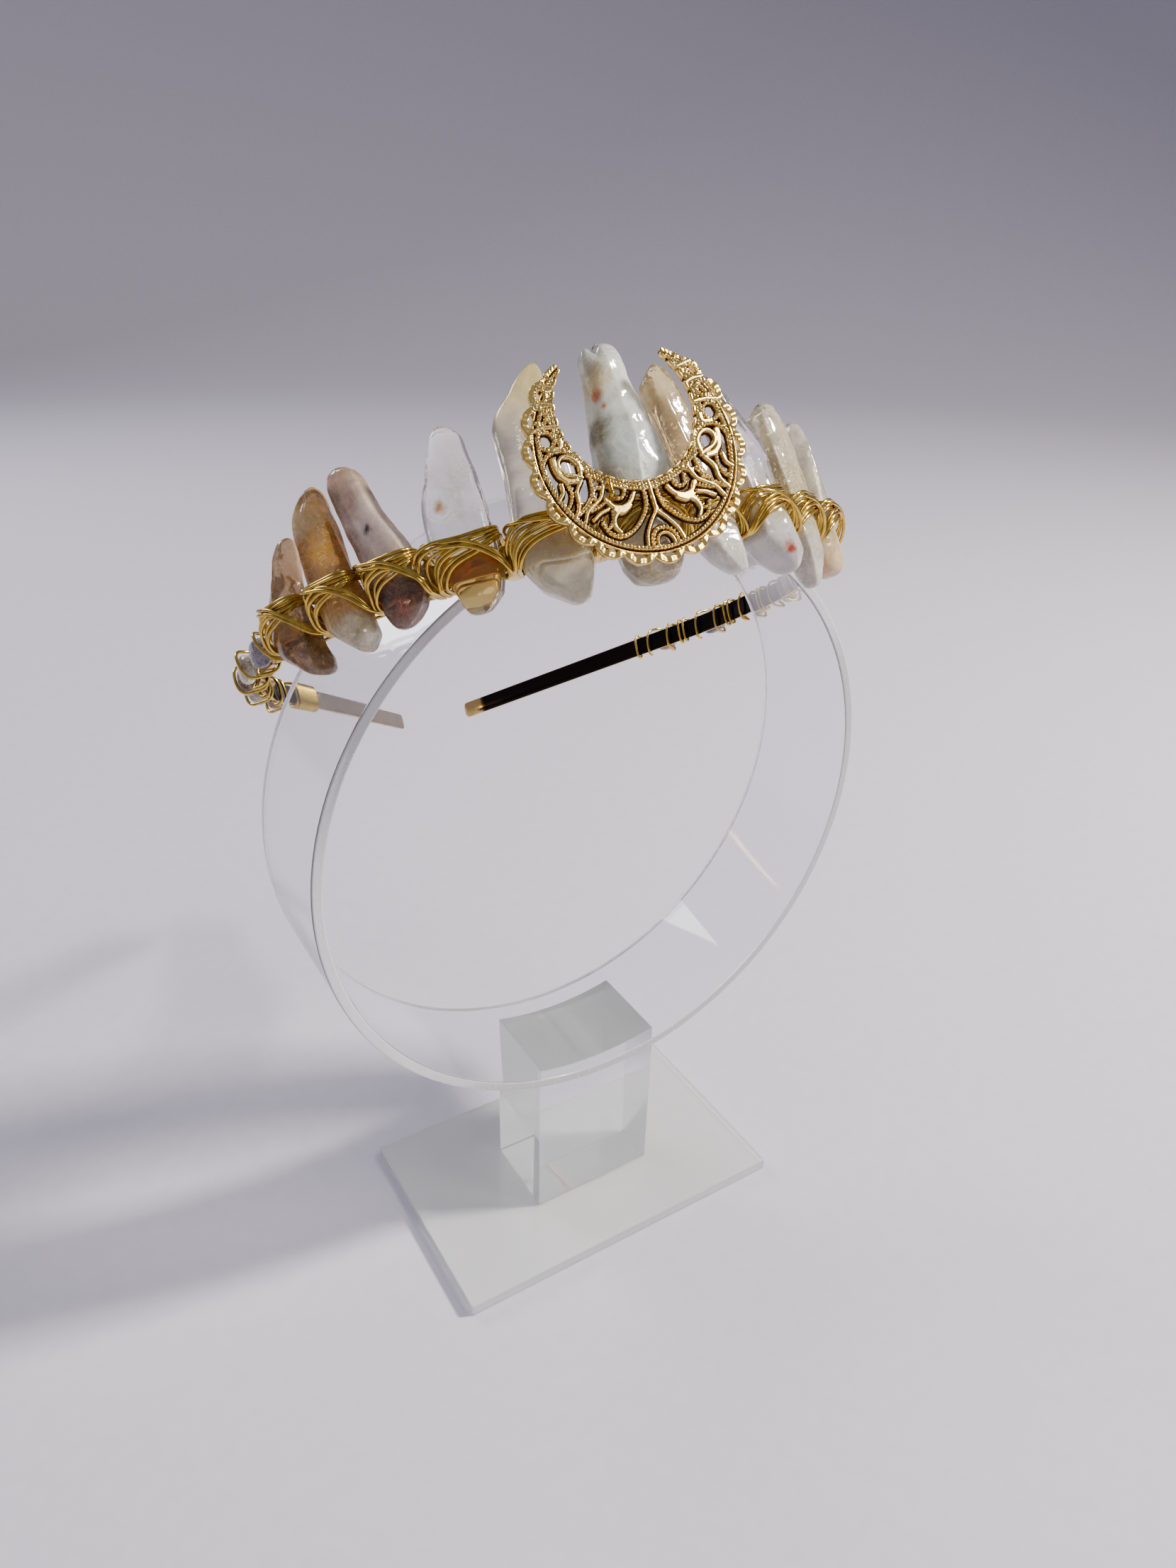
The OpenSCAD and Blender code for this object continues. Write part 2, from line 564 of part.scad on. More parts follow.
module chip_left_1() { color("thistle") rest() chip(LEFT[0], 1); }
module chip_left_2() { color("whitesmoke") rest() chip(LEFT[1], 2); }
module chip_left_3() { color("rosybrown") rest() chip(LEFT[2], 3); }
module chip_left_4() { color("whitesmoke") rest() chip(LEFT[3], 4); }
module chip_left_5() { color("tan") rest() chip(LEFT[4], 5); }
module chip_right_1() { color("tan") rest() chip(RIGHT[0], 6); }
module chip_right_2() { color("whitesmoke") rest() chip(RIGHT[1], 7); }
module chip_right_3() { color("rosybrown") rest() chip(RIGHT[2], 8); }
module chip_right_4() { color("whitesmoke") rest() chip(RIGHT[3], 9); }
module chip_right_5() { color("thistle") rest() chip(RIGHT[4], 10); }
module chip_right_6() { color("tan") rest() chip(RIGHT[5], 11); }

left_end = LEFT[left_chips - 1] - chip_length / 2 - 2;
module arm_wire_left() {
  start = left_start - 2.6;
  color("gold") rest() wire(concat(
    arm_path(start, left_end, left_pitch / 3, LEFT, 0),
    arm_path(left_end, left_end - coil_length, turn_pitch, LEFT, 1)), 5);
}

module arm_wire_right() {
  start = right_start + 2.6;
  end = RIGHT[right_chips - 1] + chip_length / 2 + 4;
  color("gold") rest() wire(arm_path(start, end, right_pitch / 4, RIGHT, 0), 5);
}

// How far before the strip's middle the crescent's back lies.
moon_depth = point_seat + point_06_thickness * 1.06 + wire_off + wire_radius + moon_gap;

module at_moon() {
  at_point(5) translate([-moon_shift, -moon_depth, moon_height])
    rotate([0, 0, moon_turn]) rotate([90, 0, 0]) rotate([0, 0, moon_roll]) children();
}

// Cells of the filigree on the right half: angle from the bottom, distance from the
// crescent's centre and radius.
cell_table = [[12, 10.6, 1.1], [17, 14.2, .9], [24, 8, .9], [30, 12.3, 1.3],
  [37, 14.9, .8], [42, 10.1, 1.1], [49, 13, 1.2], [58, 9, .9], [61, 15.1, .8],
  [66, 12, 1.4], [75, 14.6, .9], [80, 10.8, .9], [86, 13.4, 1.2], [98, 15.2, .9],
  [99, 12.3, .8], [110, 14, .9], [120, 15.9, .7], [131, 16.3, .6]];

// The crescent's outline: scallops on the outer round, the inner round cut away.
module moon_outline(edge = 0) {
  difference() {
    union() {
      circle(r = moon_radius - .9 - edge);
      if (edge == 0) for (i = [0:moon_scallops - 1]) rotate(360 / moon_scallops * i)
        translate([0, .95 - moon_radius]) circle(r = .95, $fn = 24);
    }
    translate([0, moon_offset]) circle(r = moon_inner + edge);
    polygon([[0, 0], [40 * sin(moon_opening), 40 * cos(moon_opening)],
      [-40 * sin(moon_opening), 40 * cos(moon_opening)]]);
  }
}

// The filigree's cells, mirrored to both halves, one on the middle line and the tie's two.
module moon_cells() {
  for (n = [-1, 1], c = cell_table) rotate(n * c[0]) translate([0, -c[1]])
    circle(r = c[2], $fn = 24);
  translate([0, -14.3]) circle(r = 1, $fn = 24);
  for (q = TIE_CELLS) translate(q) circle(r = wire_diameter * 1.3, $fn = 24);
}

// The crescent with its cells cut through, a raised rim along each edge and a beaded
// line's plain ridge inside the outer rim.
module crescent() {
  color("gold") rest() at_moon() union() {
    linear_extrude(moon_sheet) difference() {
      moon_outline();
      moon_cells();
    }
    translate([0, 0, moon_sheet - .01]) linear_extrude(moon_ridge + .01) difference() {
      union() {
        intersection() {
          moon_outline(.3);
          difference() {
            circle(r = moon_radius - 1.8);
            circle(r = moon_radius - 2.2);
          }
        }
        intersection() {
          moon_outline(.3);
          translate([0, moon_offset]) difference() {
            circle(r = moon_inner + 1.1);
            circle(r = moon_inner + .6);
          }
        }
      }
      moon_cells();
    }
  }
}

// The tie is a staple of wire in the space between points 05 and 06: it starts behind the
// strip, goes over its top edge, out through one cell of the crescent and back in through
// the cell above it.
tie_low = band_width / 2 + wire_gap + wire_radius + .3;
tie_high = tie_low + 2.2;
tie_x = shift(POINTS[5], tie_low) - wide(POINTS[5], tie_low) / 2 - GAPS[4] / 2 - .2;
function moon_spot(x, h) = let (a = (x + moon_shift) / cos(moon_turn), b = h - moon_height)
  [a * cos(moon_roll) + b * sin(moon_roll), -a * sin(moon_roll) + b * cos(moon_roll)];
TIE_CELLS = [moon_spot(tie_x, tie_low), moon_spot(tie_x, tie_high)];

module crescent_tie() {
  back = -wire_back - tie_x * tie_x / 2 / band_radius;
  front = moon_depth - (tie_x + moon_shift) * tan(moon_turn) + moon_sheet + moon_ridge
    + wire_off;
  w = wire_diameter * .65;
  path = [[tie_x - w, back, -.8], [tie_x - w, back, tie_low - .9],
    [tie_x - w, back + .3, tie_low - .2], [tie_x - w, back + .9, tie_low],
    [tie_x, 2.5, tie_low], [tie_x, front - .7, tie_low], [tie_x, front - .1, tie_low + .25],
    [tie_x, front, tie_low + .8], [tie_x, front, tie_high - .8],
    [tie_x, front - .1, tie_high - .25], [tie_x, front - .7, tie_high],
    [tie_x, 2.5, tie_low + 1.2], [tie_x + w, back + .9, tie_low],
    [tie_x + w, back + .3, tie_low - .2], [tie_x + w, back, tie_low - .9],
    [tie_x + w, back, -.8]];
  color("gold") rest() at_point(5) wire([for (v = path) [v.x, -v.y, v.z]], 6);
}

// A tube with chamfered rims.
module stand_ring() {
  c = ring_chamfer;
  y = ring_width / 2;
  i = ring_radius - ring_wall;
  color("lightcyan", 0.4) translate([0, 0, ring_z]) rotate([90, 0, 0])
    rotate_extrude($fn = 180) polygon([[i + c, -y], [ring_radius - c, -y],
      [ring_radius, c - y], [ring_radius, y - c], [ring_radius - c, y], [i + c, y],
      [i, y - c], [i, c - y]]);
}

// The block under the ring, its top hollowed to the ring's round.
module stand_neck() {
  color("lightcyan", 0.4) difference() {
    translate([-neck_width / 2, -neck_depth / 2, base_thickness + cement])
      cube([neck_width, neck_depth, neck_height + ring_radius / 2]);
    translate([0, 0, ring_z]) rotate([90, 0, 0])
      cylinder(r = ring_radius + cement, h = neck_depth + 2, center = true, $fn = 180);
  }
}

module stand_base() {
  color("lightcyan", 0.4) translate([-base_length / 2, -base_depth / 2, 0])
    cube([base_length, base_depth, base_thickness]);
}

headband();
crystal_01();
crystal_02();
crystal_03();
crystal_04();
crystal_05();
crystal_06();
crystal_07();
crystal_08();
crystal_09();
crystal_10();
wire_wrap_01();
wire_wrap_02();
wire_wrap_03();
wire_wrap_04();
wire_wrap_05();
wire_wrap_06();
wire_wrap_07();
wire_wrap_08();
wire_wrap_09();
wire_wrap_10();
chip_left_1();
chip_left_2();
chip_left_3();
chip_left_4();
chip_left_5();
chip_right_1();
chip_right_2();
chip_right_3();
chip_right_4();
chip_right_5();
chip_right_6();
arm_wire_left();
arm_wire_right();
crescent();
crescent_tie();
stand_ring();
stand_neck();
stand_base();
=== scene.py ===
"""A diadem of ten tumbled quartz and citrine points, wired to a flat gold headband with a
filigree crescent moon before them, resting on a clear ring stand. Metres, +Z up."""
import math

import bpy
import numpy as np
from mathutils import Matrix


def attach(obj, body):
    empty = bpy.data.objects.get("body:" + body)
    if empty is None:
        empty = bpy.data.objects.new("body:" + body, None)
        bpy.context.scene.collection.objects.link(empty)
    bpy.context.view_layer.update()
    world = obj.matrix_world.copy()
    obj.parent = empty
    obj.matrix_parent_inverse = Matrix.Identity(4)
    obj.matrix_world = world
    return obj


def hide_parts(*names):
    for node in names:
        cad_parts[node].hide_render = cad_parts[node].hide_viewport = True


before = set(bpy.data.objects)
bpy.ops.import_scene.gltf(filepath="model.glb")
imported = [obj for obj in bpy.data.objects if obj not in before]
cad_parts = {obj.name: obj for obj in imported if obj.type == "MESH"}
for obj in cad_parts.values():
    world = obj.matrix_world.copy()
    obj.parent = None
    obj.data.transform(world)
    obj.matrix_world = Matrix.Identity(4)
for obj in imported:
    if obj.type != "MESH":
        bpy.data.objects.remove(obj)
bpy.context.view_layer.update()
MM = 0.001

# The stand's base is a plate of clear acrylic with polished edges. It carries everything
# and lies flat on the table.
BASE_LENGTH, BASE_DEPTH, BASE_THICKNESS = 85.6, 54.8, 3.0
BASE_CORNER, BASE_EDGE = 0.6, 0.25


def solid(name, points, faces, material, smooth=True):
    """A mesh object from points in millimetres and a list or array of faces."""
    mesh = bpy.data.meshes.new(name)
    mesh.from_pydata((np.asarray(points) * MM).tolist(), [], [tuple(f) for f in faces])
    mesh.polygons.foreach_set("use_smooth", np.full(len(mesh.polygons), smooth))
    mesh.materials.append(material)
    mesh.update()
    piece = bpy.data.objects.new(name, mesh)
    bpy.context.scene.collection.objects.link(piece)
    return piece


def fitted(piece, nodes):
    """The piece stands for these nodes and rides on the one body."""
    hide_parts(*nodes)
    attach(piece, "root")
    return piece


def finish_of(name, **sockets):
    """A new material with its shader's sockets set, returned with its tree and shader."""
    material = bpy.data.materials.new(name)
    material.use_nodes = True
    tree = material.node_tree
    shader = tree.nodes["Principled BSDF"]
    for key, value in sockets.items():
        shader.inputs[key.replace("_", " ")].default_value = value
    return material, tree, shader


def noise_node(tree, scale, detail, rough, distortion=0.0):
    """A noise pattern that lies fixed on the piece; scale is in features per metre."""
    where = tree.nodes.new("ShaderNodeTexCoord")
    noise = tree.nodes.new("ShaderNodeTexNoise")
    noise.inputs["Scale"].default_value = scale
    noise.inputs["Detail"].default_value = detail
    noise.inputs["Roughness"].default_value = rough
    noise.inputs["Distortion"].default_value = distortion
    tree.links.new(where.outputs["Object"], noise.inputs["Vector"])
    return noise.outputs["Fac"]


def ramp_node(tree, source, stops):
    """Colours along a source value: stops are (position, colour) pairs."""
    ramp = tree.nodes.new("ShaderNodeValToRGB")
    marks = ramp.color_ramp.elements
    while len(marks) < len(stops):
        marks.new(0.5)
    for mark, (at, colour) in zip(marks, stops):
        mark.position = at
        mark.color = (*colour, 1.0)
    tree.links.new(source, ramp.inputs["Fac"])
    return ramp.outputs["Color"]


def graded(tree, shader, socket, source, stops):
    """Sets the shader's socket by the colours along a source value."""
    tree.links.new(ramp_node(tree, source, stops), shader.inputs[socket])


def stored(tree, name, kind="Fac"):
    """The values stored under this name on the piece's points."""
    reader = tree.nodes.new("ShaderNodeAttribute")
    reader.attribute_name = name
    return reader.outputs[kind]


def grey(value):
    """An even grey of this lightness."""
    return value, value, value


def bump_node(tree, shader, height, distance, strength, before=None):
    """Fine relief on the shader's normal from a height pattern; distance is in metres."""
    bump = tree.nodes.new("ShaderNodeBump")
    bump.inputs["Distance"].default_value = distance
    bump.inputs["Strength"].default_value = strength
    tree.links.new(height, bump.inputs["Height"])
    if before is not None:
        tree.links.new(before.outputs["Normal"], bump.inputs["Normal"])
    tree.links.new(bump.outputs["Normal"], shader.inputs["Normal"])
    return bump


def clear_acrylic(name, ior, clarity):
    """Clear acrylic with a breath of dust and the finest rub marks. Below full clarity part
    of
    it is a pale diffuse white: painted light, a pale haze that brightens the thick base and
    neck. Sawn faces are faintly frosted and catch the light."""
    material, tree, shader = finish_of(
        name, Base_Color=(0.975, 0.985, 1.0, 1.0), IOR=ior, Transmission_Weight=1.0)
    sawn = stored(tree, "sawn")
    dust = noise_node(tree, 700.0, 6.0, 0.7)
    haze = ramp_node(tree, dust, [(0.45, grey(0.0)), (0.75, grey(0.10))])
    rough = tree.nodes.new("ShaderNodeMath")
    rough.operation = "MULTIPLY_ADD"
    tree.links.new(sawn, rough.inputs[0])
    rough.inputs[1].default_value = 0.22
    tree.links.new(haze, rough.inputs[2])
    tree.links.new(rough.outputs[0], shader.inputs["Roughness"])
    # Clarity below 1 turns part of the acrylic diffuse near-white, a painted light.
    graded(tree, shader, "Transmission Weight", sawn,
           [(0.0, grey(clarity)), (1.0, grey(0.5))])
    slow = noise_node(tree, 25.0, 2.0, 0.4)
    bump_node(tree, shader, slow, 0.0002, 0.12)
    return material


def rounds(rows, count):
    """Quads over a closed-round grid with that many rows of count points."""
    i, j = np.meshgrid(np.arange(rows - 1), np.arange(count), indexing="ij")
    k = (j + 1) % count
    return np.stack([i * count + j, i * count + k, (i + 1) * count + k,
                     (i + 1) * count + j], -1).reshape(-1, 4)


def skin(rows, count):
    """The grid's quads, and its two ends as single faces."""
    first = list(range(count))
    return rounds(rows, count).tolist() + [first[::-1],
                                           [(rows - 1) * count + q for q in first]]


def rounded_box(half_x, half_y, corner, per_corner):
    """A rectangle's outline with quarter circles for corners, as two coordinates."""
    a = np.concatenate([np.linspace(0, np.pi / 2, per_corner) + turn * np.pi / 2
                        for turn in range(4)])
    x_sign = np.repeat([1, -1, -1, 1], per_corner)
    y_sign = np.repeat([1, 1, -1, -1], per_corner)
    return (x_sign * (half_x - corner) + corner * np.cos(a),
            y_sign * (half_y - corner) + corner * np.sin(a))


def plate():
    """The base plate's points: each level is a rounded rectangle, drawn in near the top
    and bottom by a quarter circle, which softens the edges."""
    t = np.linspace(0, np.pi / 2, 4)
    low, high = BASE_EDGE * (1 - np.cos(t)), BASE_EDGE * (1 - np.sin(t))
    inset = np.concatenate([high, high[::-1]])[:, None]
    level = np.concatenate([low, BASE_THICKNESS - low[::-1]])[:, None]
    x, y = rounded_box(BASE_LENGTH / 2 - inset, BASE_DEPTH / 2 - inset,
                       BASE_CORNER - inset, 5)
    points = np.stack([x, y, np.broadcast_to(level, x.shape)], -1)
    return points.reshape(-1, 3), skin(*x.shape)


BASE_ACRYLIC = clear_acrylic("base_acrylic", 1.4, 0.62)
points, faces = plate()
fitted(solid("base_plate", points, faces, BASE_ACRYLIC, False), ["stand_base"])

# The neck is a clear acrylic block between the base and the ring, its top hollowed to the
# ring's round and cemented to it, and its foot cemented to the base.
NECK_WIDTH, NECK_DEPTH, NECK_HEIGHT = 31.6, 20.8, 41.4
RING_RADIUS, RING_WALL, RING_WIDTH = 65.0, 2.2, 29.2
RING_Z = BASE_THICKNESS + NECK_HEIGHT + RING_RADIUS
CEMENT, NECK_EDGE, NECK_SOFT = 0.1, 0.25, 0.07


def neck_block():
    """Each level up the block is a rectangle, drawn in near the top and bottom to soften
    the edges. The top ones follow the ring's round: the height at each side place is the
    ring's middle height less the circle's rise there."""
    x = np.linspace(-1, 1, 41) * NECK_WIDTH / 2
    outline = np.concatenate([
        np.stack([x, np.full_like(x, -NECK_DEPTH / 2)], -1),
        np.stack([x[::-1], np.full_like(x, NECK_DEPTH / 2)], -1)])
    top = RING_Z - np.sqrt((RING_RADIUS + CEMENT) ** 2 - outline[:, 0] ** 2)
    low = np.full(len(top), BASE_THICKNESS + CEMENT)
    levels = [(NECK_EDGE, low), (NECK_SOFT, low + NECK_SOFT), (0.0, low + NECK_EDGE),
              (0.0, top - NECK_EDGE), (NECK_SOFT, top - NECK_SOFT), (NECK_EDGE, top)]
    half = np.array([NECK_WIDTH / 2, NECK_DEPTH / 2])
    points = np.concatenate([np.column_stack([outline * (half - drawn_in) / half, height])
                             for drawn_in, height in levels])
    n, c = len(outline), np.arange(len(x) - 1)
    last = (len(levels) - 1) * n
    top_faces = np.stack([last + c, last + c + 1, last + n - 2 - c, last + n - 1 - c], -1)
    low_faces = np.stack([c + 1, c, n - 1 - c, n - 2 - c], -1)
    faces = np.concatenate([rounds(len(levels), n), top_faces, low_faces])
    return points, faces.tolist()


NECK_ACRYLIC = clear_acrylic("neck_acrylic", 1.4, 0.78)
points, faces = neck_block()
fitted(solid("neck_block", points, faces, NECK_ACRYLIC, False), ["stand_neck"])

# The ring is a slice of clear acrylic tube with sawn and polished rims. It stands in the
# neck's hollow, and the diadem hangs over it.
RING_CORNER, BESIDE = 0.35, 0.2


def once_round(count):
    """That many even angles, once round."""
    return np.linspace(0, 2 * np.pi, count, endpoint=False)


def ring_tube():
    """A lathe of the wall's section, a rectangle with small rounded corners, about the
    tube's axis, which lies along Y. Two more points beside the ends of each flat keep its
    shading flat."""
    turns = 256
    r, y = rounded_box(RING_WALL / 2, RING_WIDTH / 2, RING_CORNER, 5)
    section = np.stack([RING_RADIUS - RING_WALL / 2 + r, y], -1)
    way = np.roll(section, -1, axis=0) - section
    far = np.linalg.norm(way, axis=1)
    flat = np.nonzero(far > RING_CORNER)[0]
    step = way[flat] / far[flat, None] * BESIDE
    beside = np.stack([section[flat] + step, section[flat] + way[flat] - step], 1)
    section = np.insert(section, np.repeat(flat + 1, 2), beside.reshape(-1, 2), axis=0)
    a = once_round(turns)[:, None]
    r, depth = section[:, 0], np.tile(section[:, 1], (turns, 1))
    points = np.stack([r * np.cos(a), depth, RING_Z + r * np.sin(a)], -1).reshape(-1, 3)
    faces = rounds(turns + 1, len(r)) % len(points)
    rims = np.abs(points[:, 1]) > RING_WIDTH / 2 - 0.4 * RING_CORNER
    return points, faces.tolist(), rims


def store(piece, name, values):
    """Stores one value for each of the piece's points, which its finish reads."""
    piece.data.attributes.new(name, "FLOAT", "POINT").data.foreach_set(
        "value", np.asarray(values, np.float32))


RING_ACRYLIC = clear_acrylic("ring_acrylic", 1.42, 0.97)
points, faces, rims = ring_tube()
ring = fitted(solid("ring_tube", points, faces, RING_ACRYLIC), ["stand_ring"])
store(ring, "sawn", rims)

# The headband is one flat strip of steel, gold plated and polished, bent to a round front
# with two straight ends. It rests tilted on the ring, front up.
BAND_RADIUS, BAND_ANGLE, ARM_LENGTH = 60.4, 120.0, 84.0
BAND_WIDTH, BAND_THICKNESS, BAND_EDGE, TIP_CORNER = 4.5, 1.0, 0.2, 1.2
REST_TILT, REST_TURN, REST_LEAN = 34.5, -7.2, -1.0
REST_PLACE = (2.8, 23.485, 140.957)
ARC_HALF = BAND_RADIUS * math.radians(BAND_ANGLE)
# A painted dark reflection on its inner face stops short of the tips, weaker on the left
# end.
BARE_TIP, WEAKER_FROM, INNER_FACE = 7, -144, -0.32


def turned(x, y, angle):
    """Two coordinates turned by an angle from the first towards the second."""
    c, s = math.cos(angle), math.sin(angle)
    return x * c - y * s, x * s + y * c


def laid(p):
    """The diadem's own axes (x to the right, y back, z up) laid on the ring: leaned about
    Y, tilted front up about X, turned about Z and moved to its place."""
    x, y, z = np.moveaxis(np.asarray(p, float), -1, 0)
    z, x = turned(z, x, math.radians(REST_LEAN))
    z, y = turned(z, y, math.radians(REST_TILT))
    x, y = turned(x, y, math.radians(REST_TURN))
    return np.stack([x, y, z], -1) + REST_PLACE


def at_strip(t, x, d, h):
    """A point x to the side, d outward and h up from the strip's middle line, where its
    round part has turned by the angle t from the front."""
    t, x, d, h = np.broadcast_arrays(*(np.asarray(v, float) for v in (t, x, d, h)))
    return laid(np.stack([x * np.cos(t) + (BAND_RADIUS + d) * np.sin(t),
                          x * np.sin(t) - (BAND_RADIUS + d) * np.cos(t), h], -1))


def spot(s, d, h, x=0.0):
    """A point by its place s along the strip, its distance d outward from the strip's
    middle, its height h across it and its distance x to the side of that place: on the
    round part the angle is s over the radius, and past it the point moves straight on."""
    a = np.clip(s, -ARC_HALF, ARC_HALF)
    return at_strip(a / BAND_RADIUS, s - a + x, d, h)


def gold(name, colour, rough, grime, scale):
    """Polished plated gold: warmer and duller where the noise gathers handling marks."""
    material, tree, shader = finish_of(name, Metallic=1.0, Roughness=rough)
    marks = noise_node(tree, scale, 5.0, 0.6)
    graded(tree, shader, "Base Color", marks,
           [(0.3, tuple(grime * c for c in colour)), (0.62, colour)])
    graded(tree, shader, "Roughness", marks,
           [(0.35, grey(rough * 1.9)), (0.65, grey(rough * 0.8))])
    fine = noise_node(tree, scale * 14, 3.0, 0.6)
    bump_node(tree, shader, fine, 0.00002, 0.25)
    return material


def strip():
    """The strip's section, a rectangle with rounded edges, carried along the headband's
    line; near each tip its half width follows a circle, which rounds the corners."""
    end, tip = ARC_HALF + ARM_LENGTH, TIP_CORNER
    s = np.concatenate([end - tip * (1 - np.cos(np.linspace(0, np.pi / 2, 7))),
                        np.linspace(end - tip, 0, 260)[1:]])
    s = np.concatenate([-s, s[::-1][1:]])
    reach = np.maximum(0.0, tip - (end - np.abs(s)))
    half = BAND_WIDTH / 2 - tip + np.sqrt(np.maximum(tip ** 2 - reach ** 2, 0.0))
    d, h = rounded_box(BAND_THICKNESS / 2, half[:, None], BAND_EDGE, 4)
    d, h = d[::-1], h[:, ::-1]
    points = spot(s[:, None], d, h)
    # Painted dark reflection on the inner face: none at the tips, weaker on the left end.
    painted_reflection = np.clip((end - BARE_TIP - np.abs(s)) / 0.8, 0, 1)
    painted_reflection = np.where(s < WEAKER_FROM, 0.8, painted_reflection)[:, None] * (d < INNER_FACE)
    return points.reshape(-1, 3), skin(len(s), len(d)), painted_reflection.ravel()


def mixed(tree, share, one, other, blend="MIX"):
    """One colour laid over another. The share, like each colour, is a source or a fixed
    value."""
    mix = tree.nodes.new("ShaderNodeMix")
    mix.data_type, mix.blend_type = "RGBA", blend
    for socket, value in (("Factor", share), ("A", one), ("B", other)):
        if isinstance(value, bpy.types.NodeSocket):
            tree.links.new(value, mix.inputs[socket])
        else:
            mix.inputs[socket].default_value = value
    return mix.outputs["Result"]


def with_painted_reflection(material):
    """The same gold, painted near black on the strip's inner face as a painted dark
    reflection.
    """
    tree = material.node_tree
    colour = tree.nodes["Principled BSDF"].inputs["Base Color"]
    painted_dark = (0.018, 0.013, 0.012, 1)
    darkened = mixed(tree, stored(tree, "painted_reflection"), colour.links[0].from_socket, painted_dark)
    tree.links.new(darkened, colour)
    return material


BAND_GOLD = with_painted_reflection(gold("band_gold", (0.74, 0.53, 0.2), 0.12, 0.8, 160.0))
points, faces, painted_reflection = strip()
band = fitted(solid("headband_strip", points, faces, BAND_GOLD), ["headband"])
store(band, "painted_reflection", painted_reflection)

# The ten points are tumbled quartz and citrine, each ground to a soft six-sided spindle.
# They stand with their flat backs on the strip, held only by wire.
POINT_SEAT = 0.7
# Each row of a shape: share of the rise or drop, side shift and width as shares of the
# greatest width, and thickness as a share of the greatest thickness. After its rows come
# the rise, drop, width and thickness.
SHAPES = {
    1: ([(-1, .35, .15, .4), (-.9, .25, .5, .75), (-.7, .1, .8, .95), (-.5, -.1, 1, 1),
         (-.15, -.25, .95, 1), (.15, -.3, .8, 1), (.35, -.25, .6, 1), (.55, -.15, .4, .95),
         (.75, -.05, .3, .9), (.9, .05, .2, .7), (1, .1, .08, .35)], 15, 10.4, 10, 6.6),
    2: ([(-1, .4, .1, .4), (-.9, .35, .25, .7), (-.7, .3, .7, .95), (-.45, .15, .95, 1),
         (0, .05, 1, 1), (.25, -.1, .9, 1), (.45, -.15, .85, 1), (.6, -.2, .85, 1),
         (.75, -.2, .7, .95), (.9, -.15, .5, .75), (1, -.05, .15, .4)], 21, 9.4, 9.6, 6.8),
    3: ([(-1, .2, .2, .4), (-.85, .25, .5, .8), (-.6, .3, .8, 1), (-.15, .35, .95, 1),
         (.15, .2, 1, 1), (.35, .05, .95, 1), (.5, -.1, .85, 1), (.7, -.25, .75, .95),
         (.85, -.35, .7, .85), (.95, -.4, .55, .6), (1, -.45, .3, .35)], 22.2, 7.6, 9, 6.2),
    4: ([(-1, 0, .25, .4), (-.9, 0, .4, .75), (-.7, .05, .65, 1), (-.3, .05, .85, 1),
         (0, 0, .9, 1), (.2, -.05, 1, 1), (.35, -.05, 1, 1), (.5, -.05, .9, 1),
         (.65, 0, .75, 1), (.75, 0, .65, .95), (.9, .05, .5, .75), (1, 0, .15, .35)],
        23.4, 8.6, 11, 4.6),
    5: ([(-1, .2, .15, .4), (-.9, .2, .35, .7), (-.7, .1, .7, .95), (-.4, .05, .95, 1),
         (0, 0, 1, 1), (.15, .05, 1, 1), (.4, .05, .95, 1), (.65, 0, .9, 1),
         (.75, .05, .8, .95), (.8, .1, .6, .85), (.9, .2, .4, .7), (1, .3, .12, .35)],
        29.8, 10.9, 12.2, 6.8),
    6: ([(-1, 0, .35, .4), (-.9, 0, .6, .7), (-.7, 0, .85, .95), (-.45, 0, .95, 1),
         (0, 0, .95, 1), (.15, 0, 1, 1), (.3, 0, 1, 1), (.45, 0, .85, 1),
         (.6, -.05, .7, .9), (.75, -.05, .6, .8), (.9, -.1, .55, .65), (.95, -.1, .45, .5),
         (1, -.1, .25, .35)], 31.6, 10.2, 12.4, 8.6),
    7: ([(-1, .6, .2, .4), (-.9, .55, .4, .7), (-.7, .4, .7, .95), (-.45, .3, .9, 1),
         (-.1, .2, 1, 1), (.15, .15, 1, 1), (.3, .1, .9, 1), (.4, 0, .8, 1),
         (.55, -.1, .75, 1), (.75, -.2, .8, .95), (.85, -.25, .7, .8), (.9, -.2, .45, .7),
         (1, -.2, .08, .35)], 28.8, 9.8, 9.4, 5.6),
    8: ([(-1, .55, .15, .4), (-.9, .5, .35, .7), (-.7, .4, .75, .95), (-.45, .25, 1, 1),
         (0, .15, .95, .95), (.2, .1, .9, .8), (.35, .05, .95, .8), (.5, 0, 1, .8),
         (.6, -.15, .85, .8), (.7, -.3, .6, .75), (.85, -.45, .4, .65), (1, -.6, .1, .3)],
        25.2, 10.4, 10, 8.4),
    9: ([(-1, .1, .15, .4), (-.85, .1, .4, .7), (-.6, .05, .75, .95), (-.3, 0, 1, 1),
         (0, 0, 1, 1), (.25, 0, 1, 1), (.5, -.1, 1, 1), (.7, -.2, .95, .95),
         (.85, -.3, .8, .85), (.95, -.3, .6, .6), (1, -.35, .3, .4)], 22.5, 12.6, 8.4, 6.8),
    10: ([(-1, .1, .4, .6), (-.85, .1, .8, .9), (-.5, .05, 1, 1), (0, 0, 1, 1),
          (.3, 0, .95, .95), (.55, 0, .85, .9), (.75, -.05, .7, .8), (.9, -.1, .45, .6),
          (1, -.1, .15, .3)], 21, 9.8, 8, 7)}
# Where each point's middle stands on the round part, as a length along the strip.
PLACES = {1: -62.905, 2: -53.622, 3: -44.763, 4: -30.683, 5: -17.881, 6: -3.163,
          7: 7.742, 8: 18.689, 9: 31.288, 10: 41.417}


def level(k, h, column):
    """Column of a point's table at heights h, in millimetres for columns 1 to 3."""
    rows, rise, drop, width, thick = SHAPES[k]
    rows = np.array(rows)
    share = np.where(h < 0, h / drop, h / rise)
    greatest = thick if column == 3 else width
    return np.interp(share, rows[:, 0], rows[:, column]) * greatest


